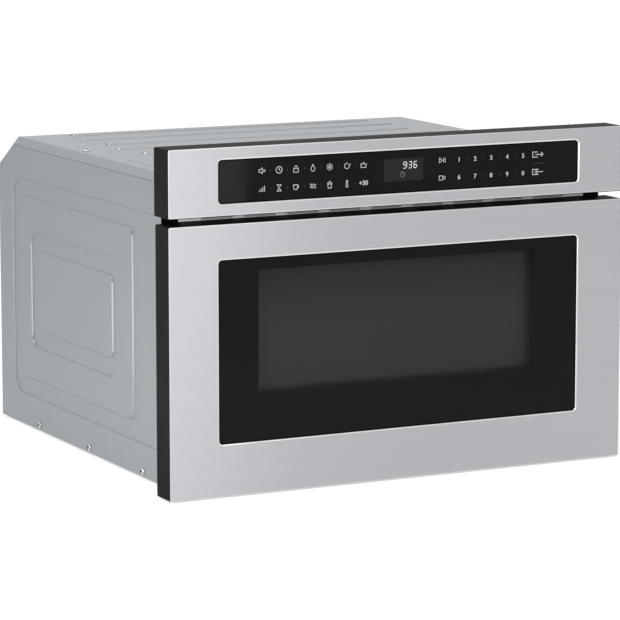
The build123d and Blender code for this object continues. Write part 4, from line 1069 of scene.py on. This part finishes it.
def make_floor():
    """A pale floor that reads white and keeps the shadow."""
    shape = bmesh.new()
    bmesh.ops.create_grid(shape, x_segments=8, y_segments=8, size=FLOOR_SIZE)
    mesh = bpy.data.meshes.new("floor")
    shape.to_mesh(mesh)
    shape.free()
    floor = bpy.data.objects.new("floor", mesh)
    bpy.context.scene.collection.objects.link(floor)
    paint = Paint("floor")
    cloud = paint.noise(paint.place(), 1.5)
    matt = paint.add("ShaderNodeBsdfDiffuse")
    paint.link(paint.shade(cloud, grey(0.80), grey(0.82)), matt.inputs["Color"])
    bright = paint.add("ShaderNodeEmission")
    level = paint.spread(light_rays(paint.tree), 0.0, FLOOR_SHOWN, source=(0, 1))
    paint.link(level, bright.inputs["Strength"])
    both = paint.add("ShaderNodeAddShader")
    paint.link(matt.outputs[0], both.inputs[0])
    paint.link(bright.outputs[0], both.inputs[1])
    mesh.materials.append(paint.finish(both))


def make_lamp(name, place, target, size, power):
    """A soft rectangular lamp that the camera doesn't see."""
    lamp = bpy.data.lights.new(name, "AREA")
    lamp.shape = "RECTANGLE"
    lamp.size, lamp.size_y = size
    lamp.energy = power
    holder = bpy.data.objects.new(name, lamp)
    bpy.context.scene.collection.objects.link(holder)
    holder.location = place
    aim(holder, Vector(target) - Vector(place))
    holder.visible_camera = False


def make_camera():
    """The camera at the photograph's angle: left front, a little above."""
    azimuth, pitch = math.radians(CAMERA_AZIMUTH), math.radians(CAMERA_PITCH)
    camera = bpy.data.cameras.new("camera")
    camera.sensor_width = CAMERA_SENSOR
    camera.lens = CAMERA_LENS
    holder = bpy.data.objects.new("camera", camera)
    bpy.context.scene.collection.objects.link(holder)
    holder.location = CAMERA_PLACE
    level = math.cos(pitch)
    forward = (math.sin(azimuth) * level, math.cos(azimuth) * level, -math.sin(pitch))
    aim(holder, Vector(forward))
    bpy.context.scene.camera = holder


def aim(holder, way):
    """A lamp or camera turned to look along a way."""
    holder.rotation_mode = "QUATERNION"
    holder.rotation_quaternion = way.to_track_quat("-Z", "Y")


build_fronts()
screws("case_screws", "case", case_screw_facing)
build_soft_nodes()
build_creases()
build_vent_screen()
touch_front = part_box("touch_glass")[0].y / MM - PRINT_SHEET
build_key_print(touch_front)
build_display(touch_front)
dress_the_rest()

make_world()
make_floor()
for lamp in LAMPS:
    make_lamp(*lamp)
make_camera()
bpy.context.scene.view_settings.view_transform = "Standard"

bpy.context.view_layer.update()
